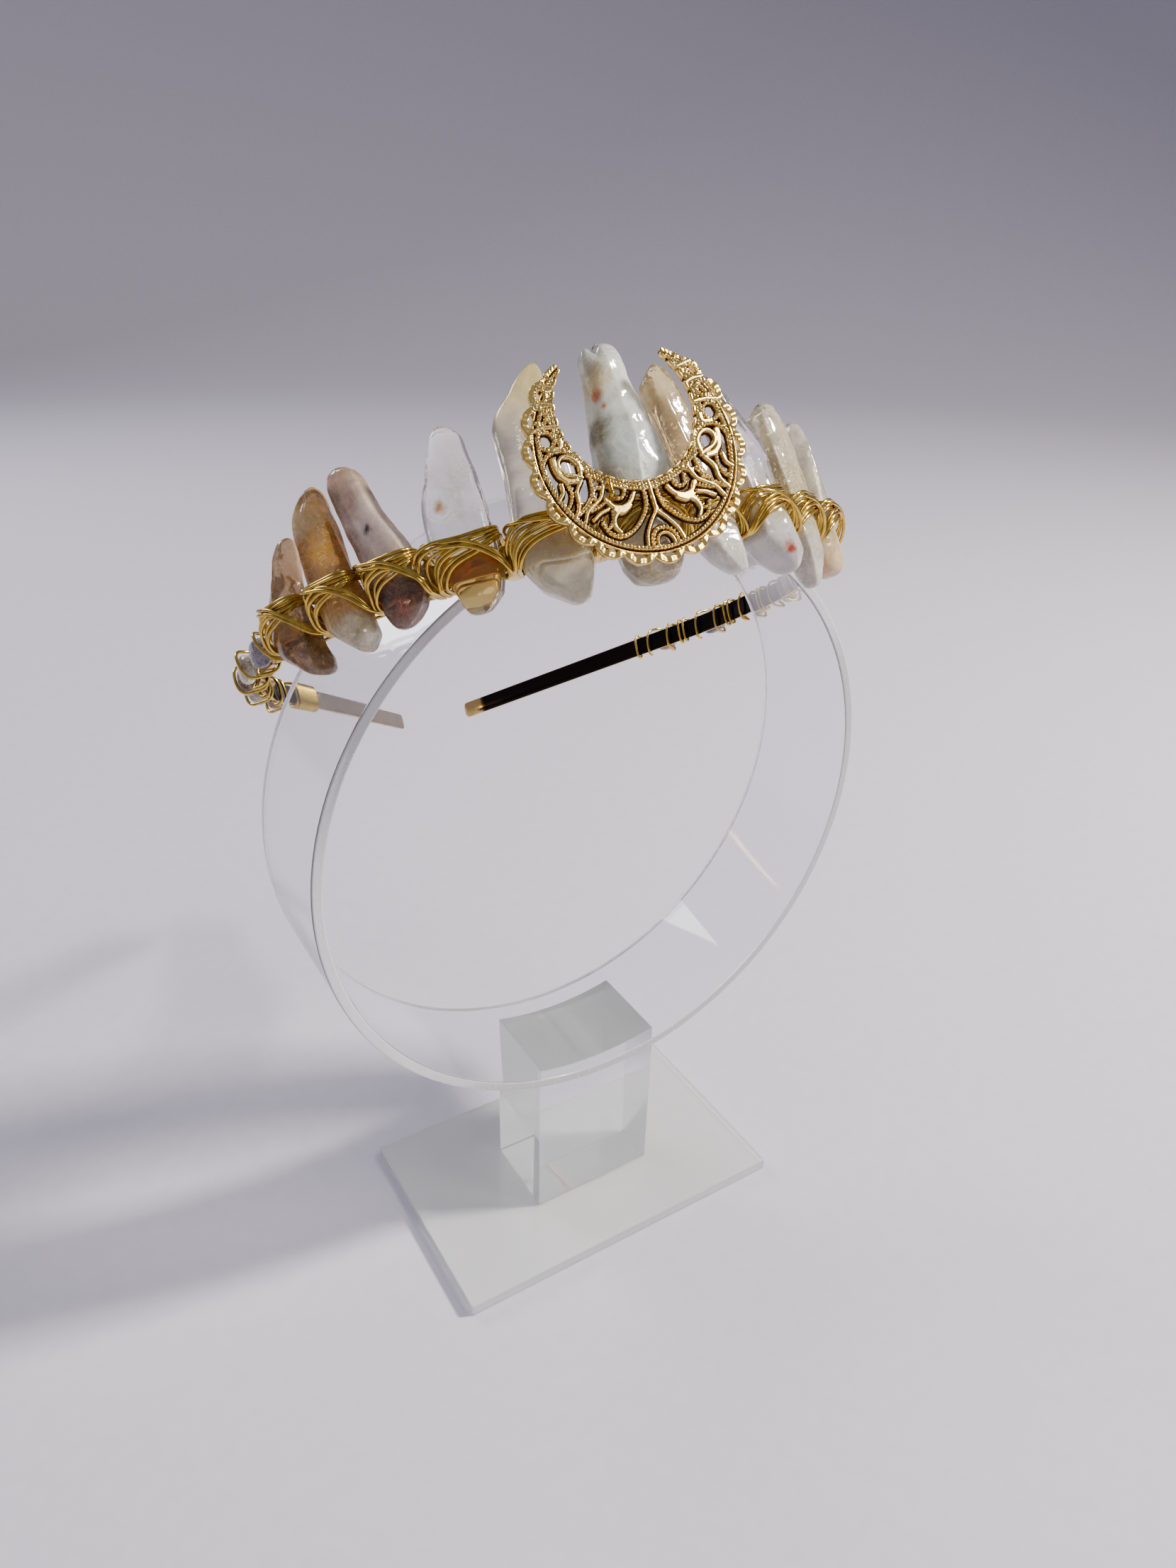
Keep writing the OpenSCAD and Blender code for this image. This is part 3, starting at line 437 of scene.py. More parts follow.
def at_point(k, x, d, h):
    """From a point's own axes (side, outward, up) to its place on the diadem."""
    return at_strip(PLACES[k] / BAND_RADIUS, x, d, h)


def ripple(p, scale, seed, octaves=3):
    """Smooth wandering between -1 and 1: sine waves of set directions, each octave twice
    as fine and half as high. p is in millimetres and scale is the first wave's length."""
    rng = np.random.default_rng(seed)
    total, weight = 0.0, 0.0
    for o in range(octaves):
        for _ in range(5):
            way = rng.normal(size=3)
            way *= 2 * np.pi / (scale / 2 ** o) / np.linalg.norm(way)
            total = total + np.sin(p @ way + rng.uniform(0, 6.28)) / 2 ** o / 5
        weight += 1 / 2 ** o
    return total / weight * 1.6


# Clefts in a point's top as (side, half width, depth).
CLEFTS = {6: (-1.1, 0.8, 2.2), 9: (-1.6, 1.2, 1.6), 7: (0.2, 1.2, 0.8)}
# How boxy each point's section is: 2 is an ellipse, and the flat plates have more.
BOXY = {4: 5.0, 5: 4.2, 7: 2.9, 8: 3.2}


def closed(p):
    """The points and faces of a form given as rings of points, the first and last of them
    drawn together to a pole: quads between the rings and a fan at each pole."""
    p[0], p[-1] = p[0].mean(0), p[-1].mean(0)
    n, m = p.shape[:2]
    quads = rounds(n - 2, m)[:, [1, 0, 3, 2]] + m
    q = np.arange(m)
    r = (q + 1) % m
    low = np.stack([m + q, m + r, np.zeros(m, int)], -1)
    top = np.stack([(n - 2) * m + r, (n - 2) * m + q, np.full(m, (n - 1) * m)], -1)
    return p.reshape(-1, 3), quads.tolist() + low.tolist() + top.tolist()


def smoothed(values, passes):
    """The values averaged with their neighbours that many times, the end ones held."""
    for _ in range(passes):
        values[1:-1] = (values[:-2] + 2 * values[1:-1] + values[2:]) / 4
    return values


def spindle(k, facets, twist, cut, lumps, seed, dents):
    """A tumbled point: rings up its height, each a rounded box |x|^e + |y|^e = 1 whose
    radius is drawn in between a few ridges, smoothed along the height, closed to a pole
    at each end and rippled. A dent is (side, outward, height, radius, depth), pressed in
    where it lies near the surface."""
    rows, rise, drop, width, thick = SHAPES[k]
    table = np.array(rows)
    n, m = 150, 96
    v = np.linspace(-1, 1, n)
    share = np.sign(v) * (1 - (1 - np.abs(v)) ** 1.35)
    side, half, deep = (smoothed(np.interp(share, table[:, 0], table[:, c]), 14)
                        for c in (1, 2, 3))
    ends = np.sqrt(1 - np.clip((np.abs(share) - 0.93) / 0.07, 0, 1) ** 2.4)
    side, half, deep = side * width, half * width / 2 * ends, deep * thick / 2 * ends
    h = np.where(share < 0, share * drop, share * rise)
    a = once_round(m)
    turn = a + twist + 0.2 * np.sin(share[:, None] * 3 + seed)
    wedge = 2 * np.pi / facets
    ridge = np.cos(wedge / 2) / np.cos((turn % wedge) - wedge / 2)
    boxy = BOXY.get(k, 2.6)
    box = (np.abs(np.cos(a)) ** boxy + np.abs(np.sin(a)) ** boxy) ** (-1 / boxy)
    radius = box * (1 + cut * (ridge / math.cos(wedge / 4) - 1))
    x, y = np.cos(a) * radius, np.sin(a) * radius
    x = x / np.abs(x).max(1, keepdims=True) * 1.01
    y = y / np.abs(y).max(1, keepdims=True)
    p = np.stack([side[:, None] + half[:, None] * x,
                  POINT_SEAT + thick / 2 + deep[:, None] * y,
                  np.broadcast_to(h[:, None], x.shape)], -1)
    out = np.stack([x, np.clip(y, -0.2, 1), np.zeros_like(x)], -1)
    calm = smoothed(np.where(np.abs(h) < 6, 0.45, 1.0) * ends, 20)
    p = p + out * (lumps * ripple(p, 9.0, seed) * calm[:, None])[..., None]
    for dx, dd, dh, dr, depth in dents:
        near = np.exp(-(((p - (dx, dd, dh)) / dr) ** 2).sum(-1))
        p = p - out * (near * depth)[..., None]
    if k in CLEFTS:
        at, wide, depth = CLEFTS[k]
        near_top = np.clip((p[..., 2] - rise + 7) / 7, 0, 1) ** 2
        p[..., 2] -= depth * np.exp(-((p[..., 0] - side[-1] - at) / wide) ** 2) * near_top
    return closed(p)


def paint(piece, tint, milk):
    """Stores a colour and a cloudiness for each point, which the stone's finish reads."""
    mesh = piece.data
    colour = mesh.color_attributes.new("tint", "FLOAT_COLOR", "POINT")
    rgba = np.ones((len(mesh.vertices), 4), np.float32)
    rgba[:, :3] = tint
    colour.data.foreach_set("color", rgba.ravel())
    store(piece, "milk", milk)


def added(tree, one, other):
    """Two source values added, and held to 1 at most."""
    total = tree.nodes.new("ShaderNodeMath")
    total.operation, total.use_clamp = "ADD", True
    tree.links.new(one, total.inputs[0])
    tree.links.new(other, total.inputs[1])
    return total.outputs[0]


def stone_finish(name, scale, rough, veils, sparkle, relief, darkest):
    """Tumbled quartz. Its stored colour is darkened and lightened in soft clouds, paler
    in thin veils and specks of healed cracks; it is clear where the stored cloudiness is
    low and milky, with light spreading inside, where that and the veils are high. The
    skin is polished over shallow dents and fine pits."""
    material, tree, shader = finish_of(
        name, Roughness=rough, IOR=1.54, Subsurface_Radius=(0.004, 0.0032, 0.0026),
        Subsurface_Scale=0.8)
    tint, milk = stored(tree, "tint", "Color"), stored(tree, "milk")
    cloud = noise_node(tree, scale, 4.0, 0.6, distortion=1.0)
    depth = ramp_node(tree, cloud, [
        (0.34, (darkest, darkest * 0.94, darkest * 0.88)), (0.50, (1.0, 0.99, 0.97)),
        (0.66, (1.2, 1.2, 1.2))])
    veil = noise_node(tree, scale * 1.9, 7.0, 0.7, distortion=2.2)
    band = ramp_node(tree, veil, [
        (0.44, grey(0)), (0.50, grey(veils)), (0.54, grey(veils * 0.15)),
        (0.62, grey(veils * 0.3)), (0.70, grey(veils * 1.1))])
    crack = noise_node(tree, scale * 5, 3.0, 0.6, distortion=0.8)
    speck = ramp_node(tree, crack, [(0.64, grey(0)), (0.69, grey(sparkle))])
    pale = added(tree, band, speck)
    graded(tree, shader, "Transmission Weight", added(tree, milk, pale),
           [(0.0, grey(1)), (1.0, grey(0.08))])
    graded(tree, shader, "Subsurface Weight", milk, [(0.2, grey(0)), (0.9, grey(0.6))])
    shade = mixed(tree, 1.0, tint, depth, "MULTIPLY")
    tree.links.new(mixed(tree, pale, shade, (0.74, 0.72, 0.68, 1)),
                   shader.inputs["Base Color"])
    graded(tree, shader, "Roughness", veil,
           [(0.35, grey(rough * 0.6)), (0.7, grey(rough * 2.4))])
    dents = noise_node(tree, 330.0, 3.0, 0.55)
    first = bump_node(tree, shader, dents, 0.0006 * relief, 0.5)
    bump_node(tree, shader, crack, 0.0001 * relief, 0.2, first)
    return material


def blend_stops(h, stops):
    """Colours along the height: stops are (height, colour, cloudiness)."""
    at = [s[0] for s in stops]
    tint = np.stack([np.interp(h, at, [s[1][c] for s in stops]) for c in range(3)], -1)
    return tint, np.interp(h, at, [s[2] for s in stops])


# The clearer points have a smoother skin and paler clouds than the others.
CLEAR_POINTS = (4, 5, 8)
# Each point's facets, their twist and how deep they are cut, lumps, noise scale, veils
# and sparkle; its colours up its height as (height, colour, cloudiness); its stains and
# painted shade as (side, outward, height, radius, colour, cloudiness); its dents.
WHITE, CLEAR, ROSE = (0.67, 0.69, 0.61), (0.97, 0.97, 0.95), (0.62, 0.42, 0.22)
AMBER, HONEY, RUST = (0.68, 0.34, 0.04), (0.74, 0.44, 0.10), (0.30, 0.035, 0.015)
POINTS = {
    1: (6, 0.3, 0.7, 0.22, 110, 0.2, 0.12,
        [(-10.4, (0.50, 0.31, 0.12), 0.15), (-6, (0.38, 0.21, 0.07), 0.08),
         (-2, (0.52, 0.31, 0.11), 0.1), (1, ROSE, 0.35), (8, ROSE, 0.35),
         (15, (0.70, 0.54, 0.36), 0.45)],
        [(1.5, 6, -6, 2.4, (0.12, 0.06, 0.025), 0.6)], ()),
    2: (6, 0.0, 0.6, 0.25, 120, 0.25, 0.3,
        [(-9.4, (0.66, 0.60, 0.46), 0.8), (-5, (0.60, 0.52, 0.32), 0.8), (-2, HONEY, 0.5),
         (4, AMBER, 0.35), (12, AMBER, 0.3), (21, (0.52, 0.32, 0.12), 0.45)],
        [(-4.4, 4, 15, 4.2, (0.62, 0.51, 0.27), 0.85),
         (-3.6, 4, 7, 2.4, (0.60, 0.48, 0.24), 0.8),
         (1.5, 6.5, 3, 2.2, (0.25, 0.09, 0.015), 0.4)],
        [(-1.6, 6.8, 18.5, 1.8, 0.7)]),
    3: (6, 0.5, 0.6, 0.25, 100, 0.18, 0.1,
        [(-7.6, (0.32, 0.16, 0.08), 0.3), (-3, (0.26, 0.12, 0.06), 0.25),
         (1, (0.44, 0.28, 0.15), 0.4), (5, (0.66, 0.54, 0.47), 0.7),
         (14, (0.66, 0.54, 0.46), 0.6), (22, (0.46, 0.30, 0.19), 0.35)],
        [(-4.0, 4.4, 15, 3.4, (0.42, 0.26, 0.15), 0.25),
         (-3.4, 5, 8, 3.0, (0.40, 0.24, 0.15), 0.3),
         (-4.4, 4, 20, 3.0, (0.48, 0.31, 0.19), 0.3),
         (0.4, 6.4, 9.4, 0.8, (0.07, 0.05, 0.05), 0.9), (3.3, 5.4, -4.2, 1.5, RUST, 0.8),
         (0.4, 6.6, -2.2, 1.2, (0.05, 0.03, 0.03), 0.8),
         (-1.6, 6.4, -4.4, 0.8, (0.07, 0.04, 0.03), 0.8)], ()),
    4: (5, 0.2, 0.3, 0.08, 110, 0.05, 0.04,
        [(-8.6, (0.96, 0.78, 0.34), 0.04), (-3, (0.92, 0.62, 0.14), 0.04),
         (0.8, (0.86, 0.54, 0.10), 0.06), (3.5, CLEAR, 0.0), (23.4, CLEAR, 0.0)],
        [(-2.6, 4.9, 9.5, 1.0, (0.50, 0.22, 0.03), 0.75)],
        [(-5.8, 3, 15.2, 1.1, 1.1)]),
    5: (6, 0.1, 0.35, 0.1, 100, 0.1, 0.1,
        [(-10.9, (0.80, 0.76, 0.62), 0.40), (-6, (0.77, 0.72, 0.54), 0.5),
         (-1, (0.76, 0.66, 0.38), 0.4), (3, (0.95, 0.93, 0.80), 0.02),
         (19, (0.95, 0.93, 0.76), 0.02), (24, (0.88, 0.76, 0.38), 0.28),
         (30, (0.82, 0.66, 0.28), 0.45)], [], ()),
    6: (6, 0.4, 0.5, 0.3, 90, 0.25, 0.25,
        [(-10.2, (0.82, 0.70, 0.42), 0.2), (-6, (0.78, 0.70, 0.50), 0.3), (0, WHITE, 0.85),
         (12, (0.52, 0.58, 0.58), 0.9), (24, WHITE, 0.9), (32, (0.62, 0.65, 0.68), 0.5)],
        # Painted shade: these first two grey-olive patches darken point 6's left side.
        [(-6.0, 5.5, 6, 3.6, (0.36, 0.33, 0.20), 0.6),
         (-5.2, 5.6, 15, 3.0, (0.36, 0.34, 0.22), 0.6),
         (-3.2, 6.6, 24, 2.4, (0.60, 0.50, 0.26), 0.85),
         (-4.2, 7.6, 21.5, 1.0, (0.50, 0.12, 0.01), 1.0),
         (-3.4, 8.0, 19.4, 0.45, (0.50, 0.16, 0.02), 1.0)],
        [(-1.0, 5.5, 31.6, 1.3, 1.8), (1.5, 9.2, 16, 1.0, 0.3)]),
    7: (6, 0.2, 0.6, 0.2, 110, 0.15, 0.35,
        [(-9.8, (0.66, 0.67, 0.65), 0.8), (-3, (0.64, 0.63, 0.57), 0.8),
         (3, (0.78, 0.58, 0.26), 0.14), (15, (0.80, 0.60, 0.29), 0.1),
         (28, (0.88, 0.73, 0.40), 0.12)], [], ()),
    8: (6, 0.6, 0.5, 0.15, 100, 0.12, 0.1,
        [(-10.4, (0.56, 0.53, 0.54), 0.8), (-3, (0.54, 0.52, 0.52), 0.8),
         (2, (0.74, 0.62, 0.34), 0.3), (8, (0.86, 0.82, 0.86), 0.05),
         (25, (0.90, 0.86, 0.93), 0.05)],
        [(2.6, 9.0, -7.0, 1.1, (0.32, 0.04, 0.01), 1.0)], ()),
    9: (5, 0.1, 0.7, 0.3, 110, 0.25, 0.4,
        [(-12.6, (0.58, 0.56, 0.52), 0.8), (-5, (0.56, 0.54, 0.49), 0.7),
         (2, (0.76, 0.66, 0.36), 0.3), (14, (0.88, 0.80, 0.54), 0.12),
         (22.5, (0.90, 0.85, 0.66), 0.2)], [],
        [(-3.2, 4, 22, 1.2, 1.2), (1.2, 6, 18, 1.2, 0.5)]),
    10: (5, 0.7, 0.7, 0.22, 110, 0.25, 0.2,
         [(-9.8, (0.62, 0.46, 0.26), 0.85), (-4, (0.60, 0.46, 0.28), 0.85),
          (2, (0.66, 0.57, 0.40), 0.6), (12, (0.72, 0.67, 0.52), 0.35),
          (21, (0.74, 0.71, 0.60), 0.35)],
         [(2.4, 7, -7.4, 1.0, (0.24, 0.09, 0.03), 0.95)], ())}
for k, one in POINTS.items():
    facets, twist, cut, lumps, scale, veils, sparkle, stops, stains_and_shade, dents = one
    points, faces = spindle(k, facets, twist, cut, lumps, k, dents)
    relief, darkest = (0.1, 0.93) if k in CLEAR_POINTS else (0.45, 0.7)
    material = stone_finish(f"quartz_{k:02d}", scale, 0.05, veils, sparkle, relief,
                            darkest)
    piece = solid(f"quartz_point_{k:02d}", at_point(k, *points.T), faces, material)
    tint, milk = blend_stops(points[:, 2] + 1.2 * ripple(points, 7.0, k + 40), stops)
    for *middle, radius, colour, cloud in stains_and_shade:
        apart = np.linalg.norm(points - middle, axis=1) / radius
        near = np.clip(1.5 - apart + 0.5 * ripple(points, radius * 1.6, k + 80), 0, 1)
        tint += (np.array(colour) - tint) * near[:, None]
        milk += (cloud - milk) * near
    paint(piece, tint, np.clip(milk, 0, 1))
    fitted(piece, [f"crystal_{k:02d}"])

# Healed cracks lie inside the clearer points as veils of tiny silvery flakes. They formed
# in the stone, so they are held all round.
# Each veil: point, side and height of its middle, half spans (side, outward, height),
# tilt and number of flakes.
VEILS = [
    (4, 0.8, 12.5, (1.6, 0.25, 4.0), 0.5, 80), (4, -1.6, 10.2, (1.3, 0.2, 0.9), -0.4, 26),
    (5, 0.6, 8.0, (2.2, 0.5, 3.0), -0.5, 36), (5, -1.2, 18.0, (0.7, 0.3, 3.0), 0.2, 22),
    (2, 0.5, 8.0, (0.35, 0.4, 6.0), 0.1, 60), (7, 0.0, 10.0, (2.4, 1.0, 7.0), 0.2, 90),
    (8, 0.2, 9.0, (0.3, 0.3, 6.5), 0.1, 60), (9, 0.0, 9.0, (2.2, 1.2, 5.5), -0.2, 90)]


def unit(way):
    """Directions with their length made 1."""
    return way / np.linalg.norm(way, axis=-1, keepdims=True)


def flakes(k, side, height, spans, tilt, count, seed):
    """Flat eight-sided flakes scattered over a wavy leaf. Their places are a normal
    scatter times the spans, tilted in the point's face and kept well inside the stone;
    each flake's corners are its size times an uneven octagon laid on two axes near the
    leaf, with a low peak on each side."""
    rng = np.random.default_rng(seed)
    x, d, h = (np.clip(rng.normal(size=(count, 3)), -1.8, 1.8) / 1.4 * spans).T
    d = d + 0.35 * np.sin(h * 0.9 + seed)
    h, x = turned(h, x, tilt)
    x, h = side + x, height + h
    room = level(k, h, 2) * 0.33, level(k, h, 3) * 0.28
    at = np.stack([level(k, h, 1) + np.clip(x, -room[0], room[0]),
                   POINT_SEAT + SHAPES[k][4] / 2 + np.clip(d, -room[1], room[1]), h], -1)
    size = rng.uniform(0.1, 0.42, (count, 1, 1))
    one = unit(rng.normal(size=(count, 3)) * (1, 0.3, 1))
    two = unit(np.cross(one, rng.normal((0, 1, 0), 0.25, (count, 3))))
    out = np.cross(one, two)
    a = once_round(8)[:, None]
    r = rng.uniform(0.6, 1.0, (count, 8, 1))
    edge = r * (np.cos(a) * one[:, None] + 0.6 * np.sin(a) * two[:, None])
    peaks = np.stack([0.12 * out, -0.12 * out], 1)
    points = at[:, None] + size * np.concatenate([edge, peaks], 1)
    q = np.arange(8)
    fan = np.concatenate([np.stack([(q + 1) % 8, q, np.full(8, 8)], -1),
                          np.stack([q, (q + 1) % 8, np.full(8, 9)], -1)])
    faces = fan + 10 * np.arange(count)[:, None, None]
    return points.reshape(-1, 3), faces.reshape(-1, 3).tolist()


def healed_crack():
    """Silvery white, mottled, with a faint glow: painted light for what the flakes catch.
    """
    # The emission is painted light, a glow for the light the flakes catch inside the stone.
    material, tree, shader = finish_of("healed_crack", Roughness=0.25,
                                       Emission_Color=(1.0, 0.93, 0.78, 1.0),
                                       Emission_Strength=0.45)
    mottle = noise_node(tree, 3000.0, 2.0, 0.5)
    graded(tree, shader, "Base Color", mottle,
           [(0.35, (0.78, 0.70, 0.55)), (0.6, (1.0, 0.98, 0.92))])
    return material


SILVER_FLAKE = healed_crack()
for i, (k, side, height, spans, tilt, count) in enumerate(VEILS):
    p, faces = flakes(k, side, height, spans, tilt, count, 500 + i)
    piece = solid(f"veil_{i + 1}_in_point_{k:02d}", at_point(k, *p.T), faces,
                  SILVER_FLAKE, False)
    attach(piece, "root")

# Each wrap is one soft gold-coloured wire wound round a point and the strip behind it: it
# comes from under the strip, arches over the point's front and goes back under.
WIRE, WIRE_GAP, TURN_PITCH = 0.65, 0.25, 0.74
WIRE_OFF = WIRE / 2 + WIRE_GAP
WIRE_BACK = BAND_THICKNESS / 2 + WIRE_OFF
FOOT = -3.4  # how low a wrap's strands reach, just under the strip


def eased(path, per):
    """A smooth curve through the stations of a path: a cubic between each two whose ends
    point along the line joining their neighbours."""
    p = np.asarray(path, float)
    q = np.concatenate([[2 * p[0] - p[1]], p, [2 * p[-1] - p[-2]]])
    t = np.linspace(0, 1, per, endpoint=False)[None, :, None]
    a, b, c, d = (q[i:len(q) - 3 + i][:, None] for i in range(4))
    curve = 0.5 * (2 * b + (c - a) * t + (2 * a - 5 * b + 4 * c - d) * t ** 2
                   + (3 * b - a - 3 * c + d) * t ** 3)
    return np.concatenate([curve.reshape(-1, p.shape[1]), p[-1:]])


def wire_tube(path, guide, sides=8, radius=WIRE / 2):
    """A round wire along a path: a circle about each point in the plane across the path.
    Its first axis is the guide, which points away from what the wire goes round, less the
    part of it along the path."""
    way = unit(np.gradient(path, axis=0))
    across = unit(guide - (guide * way).sum(1, keepdims=True) * way)
    other = np.cross(way, across)
    a = once_round(sides)[:, None]
    points = path[:, None] + radius * (np.cos(a) * across[:, None]
                                       + np.sin(a) * other[:, None])
    return points.reshape(-1, 3), skin(len(path), sides)


def softened(path, step=0.4, passes=5):
    """A path taken again at even steps along its length and averaged with its neighbours
    a few times, so that every corner becomes the round bend of a soft wire."""
    run = np.concatenate([[0], np.cumsum(np.linalg.norm(np.diff(path, axis=0), axis=1))])
    at = np.linspace(0, run[-1], int(run[-1] / step))
    return smoothed(np.stack([np.interp(at, run, c) for c in path.T], -1), passes)


def girth(k, h):
    """A point's width at each height, the widest within the wire's own breadth."""
    return np.max([level(k, h + e, 2) for e in (-0.6, 0.0, 0.6)], axis=0)


# The course of a strand over a point: its height at nine places from the left foot, up
# the left side, over the front and down the right side to the right foot. The places are
# angles round the stone, 180 at its left edge, 90 at its front and 0 at its right edge.
COURSE_AT = [200, 180, 150, 125, 90, 45, 20, 0, -20]
RISING = [-3.3, -1.6, 1.7, 2.7, 3.0, 3.2, 3.3, 3.3, 3.2]
STRAIGHT = [-4.2, -3.6, -1.9, -0.6, 0.8, 2.2, 2.8, 3.1, 3.1]
ARCH = [-4.6, -3.6, -0.6, 0.9, 1.7, 0.4, -1.4, -3.1, -4.0]
FALLING = [3.1, 3.2, 2.9, 2.4, 1.4, -0.8, -2.2, -3.4, -4.0]


def power(value, exponent):
    """The power of each number's size, with its sign kept."""
    return np.sign(value) * np.abs(value) ** exponent


def strand(k, course, left, middle, right, out):
    """One pass of a strand round a point as stations (side, outward, height), every 11
    degrees from behind its left edge round the front to behind its right edge. The
    section is a rounded box round the stone, the height follows the course plus shifts
    at the left, middle and right, and out is the layer's distance at those places."""
    boxy = 0.75
    u = np.arange(200.0, -21, -11)
    at, spread = COURSE_AT[::-1], [0, 45, 90, 135, 180]
    h = np.interp(u, at, course[::-1]) + np.interp(u, spread, [
        right, (right + middle) / 2, middle, (left + middle) / 2, left])
    lift = np.interp(u, [0, 90, 180], out[::-1]) + WIRE_OFF
    h = np.maximum(h, FOOT)
    c, e = np.cos(np.radians(u)), np.sin(np.radians(u))
    x = level(k, h, 1) + power(c, boxy) * (girth(k, h) / 2 + lift)
    d = POINT_SEAT + SHAPES[k][4] / 2 + power(e, boxy) * (level(k, h, 3) / 1.95 + lift)
    return np.column_stack([x, np.maximum(d, 0.75), h])


def behind(right, left):
    """The strand's way back behind the strip, from its right foot to the next left one:
    round the strip's edge near each foot and straight across between."""
    (x1, _, h1), (x2, _, h2) = right, left
    clear = BAND_WIDTH / 2 + WIRE_OFF
    h1, h2 = (math.copysign(max(abs(h), clear), h) for h in (h1, h2))
    return np.array([(x1 * 0.97, -0.35, h1), (x1 * 0.87, -WIRE_BACK, h1 * 0.8),
                     (x2 * 0.87, -WIRE_BACK, h2 * 0.8), (x2 * 0.97, -0.35, h2)])


# Passes of each wrap, in winding order: course, shifts at the left, middle and right,
# and the layer's distance at the left, middle and right.
PASSES = [
    (STRAIGHT, -0.9, -0.5, 0.0, (0.0, 0.0, 0.0)),
    (STRAIGHT, -0.1, 0.3, 0.2, (0.0, 0.0, 0.3)),
    (RISING, -0.4, -0.7, 0.5, (0.1, 0.1, 0.0)), (RISING, 0.4, 0.0, 0.9, (0.5, 0.3, 0.0)),
    (RISING, 1.3, 0.8, 1.3, (0.2, 0.0, 0.0)), (ARCH, -1.5, 0.0, 0.0, (0.7, 0.7, 0.1)),
    (ARCH, -0.8, 0.7, -0.8, (0.7, 0.75, 0.5)), (FALLING, 0.3, 0.9, -1.6, (0.7, 0.9, 0.8))]
WIRE_GOLD = gold("wire_gold", (0.78, 0.53, 0.10), 0.13, 0.5, 420.0)
# How far the rising strands of a wrap spread into a wide gap on its left.
SPREAD = {4: 0.95, 5: 0.15, 6: 0.55, 8: 0.2, 9: 0.8, 10: 0.4}
# Wraps with one more pass, over the front and down.
FULL_WRAPS, LAST_PASS = (1, 3, 4), (FALLING, 1.2, 1.7, -0.8, (0.75, 0.95, 0.9))
for k in POINTS:
    rng = np.random.default_rng(100 + k)
    passes = [(c, a + rng.normal(0, 0.1), m + rng.normal(0, 0.12), b + rng.normal(0, 0.1),
               (out[0] + SPREAD.get(k, 0) * (i if i < 5 else 0.5), *out[1:]))
              for i, (c, a, m, b, out) in enumerate(PASSES)]
    if k in FULL_WRAPS:
        passes.append(LAST_PASS)
    strands = [strand(k, *one) for one in passes]
    path = [behind(strands[-1][-1], strands[0][0])[2:]]
    for one, onward in zip(strands, strands[1:] + strands[:1]):
        path += [one, behind(one[-1], onward[0])]
    path = np.concatenate(path)[:-2]
    sunk = path[:, 1] < 0.5
    path[sunk, 1] -= path[sunk, 0] ** 2 / 2 / BAND_RADIUS
    curve = softened(eased(path, 5))
    inside = at_point(k, float(level(k, np.array(0.0), 1)), POINT_SEAT + SHAPES[k][4] / 2,
                      curve[:, 2])
    place = at_point(k, *curve.T)
    points, faces = wire_tube(place, place - inside)
    fitted(solid(f"wire_wrap_front_{k:02d}", points, faces, WIRE_GOLD),
           [f"wire_wrap_{k:02d}"])

# The chips are small tumbled scraps of the same stones and of amethyst, bound flat to the
# outside of both arms.
CHIP_LENGTH, CHIP_HEIGHT, CHIP_THICKNESS = 7.6, 6.0, 4.0
LEFT_PITCH, RIGHT_PITCH = 11.6, 15.6
# Where the row of points ends on each side, and each first chip's distance from there.
LEFT_EDGE, RIGHT_EDGE, LEFT_ROOM, RIGHT_ROOM = -70.03, 45.417, 7.0, 8.0
LEFT_CHIPS = [LEFT_EDGE - LEFT_ROOM - CHIP_LENGTH / 2 - LEFT_PITCH * i for i in range(5)]
RIGHT_CHIPS = [RIGHT_EDGE + RIGHT_ROOM + CHIP_LENGTH / 2 + RIGHT_PITCH * i
               for i in range(6)]


def pebble(s, seed):
    """A rounded chip: a superellipsoid, flatter at its back, rippled and slightly
    wedge-shaped, on rings of angle v from pole to pole."""
    rng = np.random.default_rng(seed)
    v = np.linspace(-np.pi / 2, np.pi / 2, 36)[:, None]
    u = once_round(48)
    cx, cd, ch = (power(np.cos(v), 0.75) * power(np.cos(u), 0.8),
                  power(np.cos(v), 0.75) * power(np.sin(u), 0.8), power(np.sin(v), 0.8))
    ch = np.broadcast_to(ch, cx.shape)
    x = cx * CHIP_LENGTH / 2 * (1 - 0.12 * ch * rng.choice([-1, 1])) * 0.97
    d = POINT_SEAT + 0.05 + CHIP_THICKNESS / 2 + cd * CHIP_THICKNESS / 2 * 0.9
    h = ch * CHIP_HEIGHT / 2 * 0.97 * (1 - 0.1 * cx * rng.choice([-1, 1]))
    p = np.stack([x, d, h], -1)
    away = p - (0, POINT_SEAT + CHIP_THICKNESS / 2, 0)
    own, faces = closed(p - away * 0.05 * (1 + ripple(p, 5.0, seed))[..., None])
    return spot(s, own[:, 1], own[:, 2], own[:, 0]), faces, own


# Each chip's colour and cloudiness, the left ones first.
CHIP_TINTS = [
    ((0.30, 0.26, 0.34), 0.3), ((0.56, 0.52, 0.40), 0.5), ((0.36, 0.24, 0.17), 0.5),
    ((0.56, 0.54, 0.48), 0.6), ((0.50, 0.36, 0.20), 0.5), ((0.44, 0.30, 0.18), 0.5),
    ((0.58, 0.56, 0.52), 0.5), ((0.34, 0.22, 0.16), 0.5), ((0.54, 0.51, 0.46), 0.6),
    ((0.34, 0.28, 0.40), 0.35), ((0.48, 0.36, 0.22), 0.5)]
CHIP_STONE = stone_finish("chip_stone", 190, 0.08, 0.4, 0.4, 1.0, 0.62)
chips = [("left", i, s) for i, s in enumerate(LEFT_CHIPS)] + [
    ("right", i, s) for i, s in enumerate(RIGHT_CHIPS)]
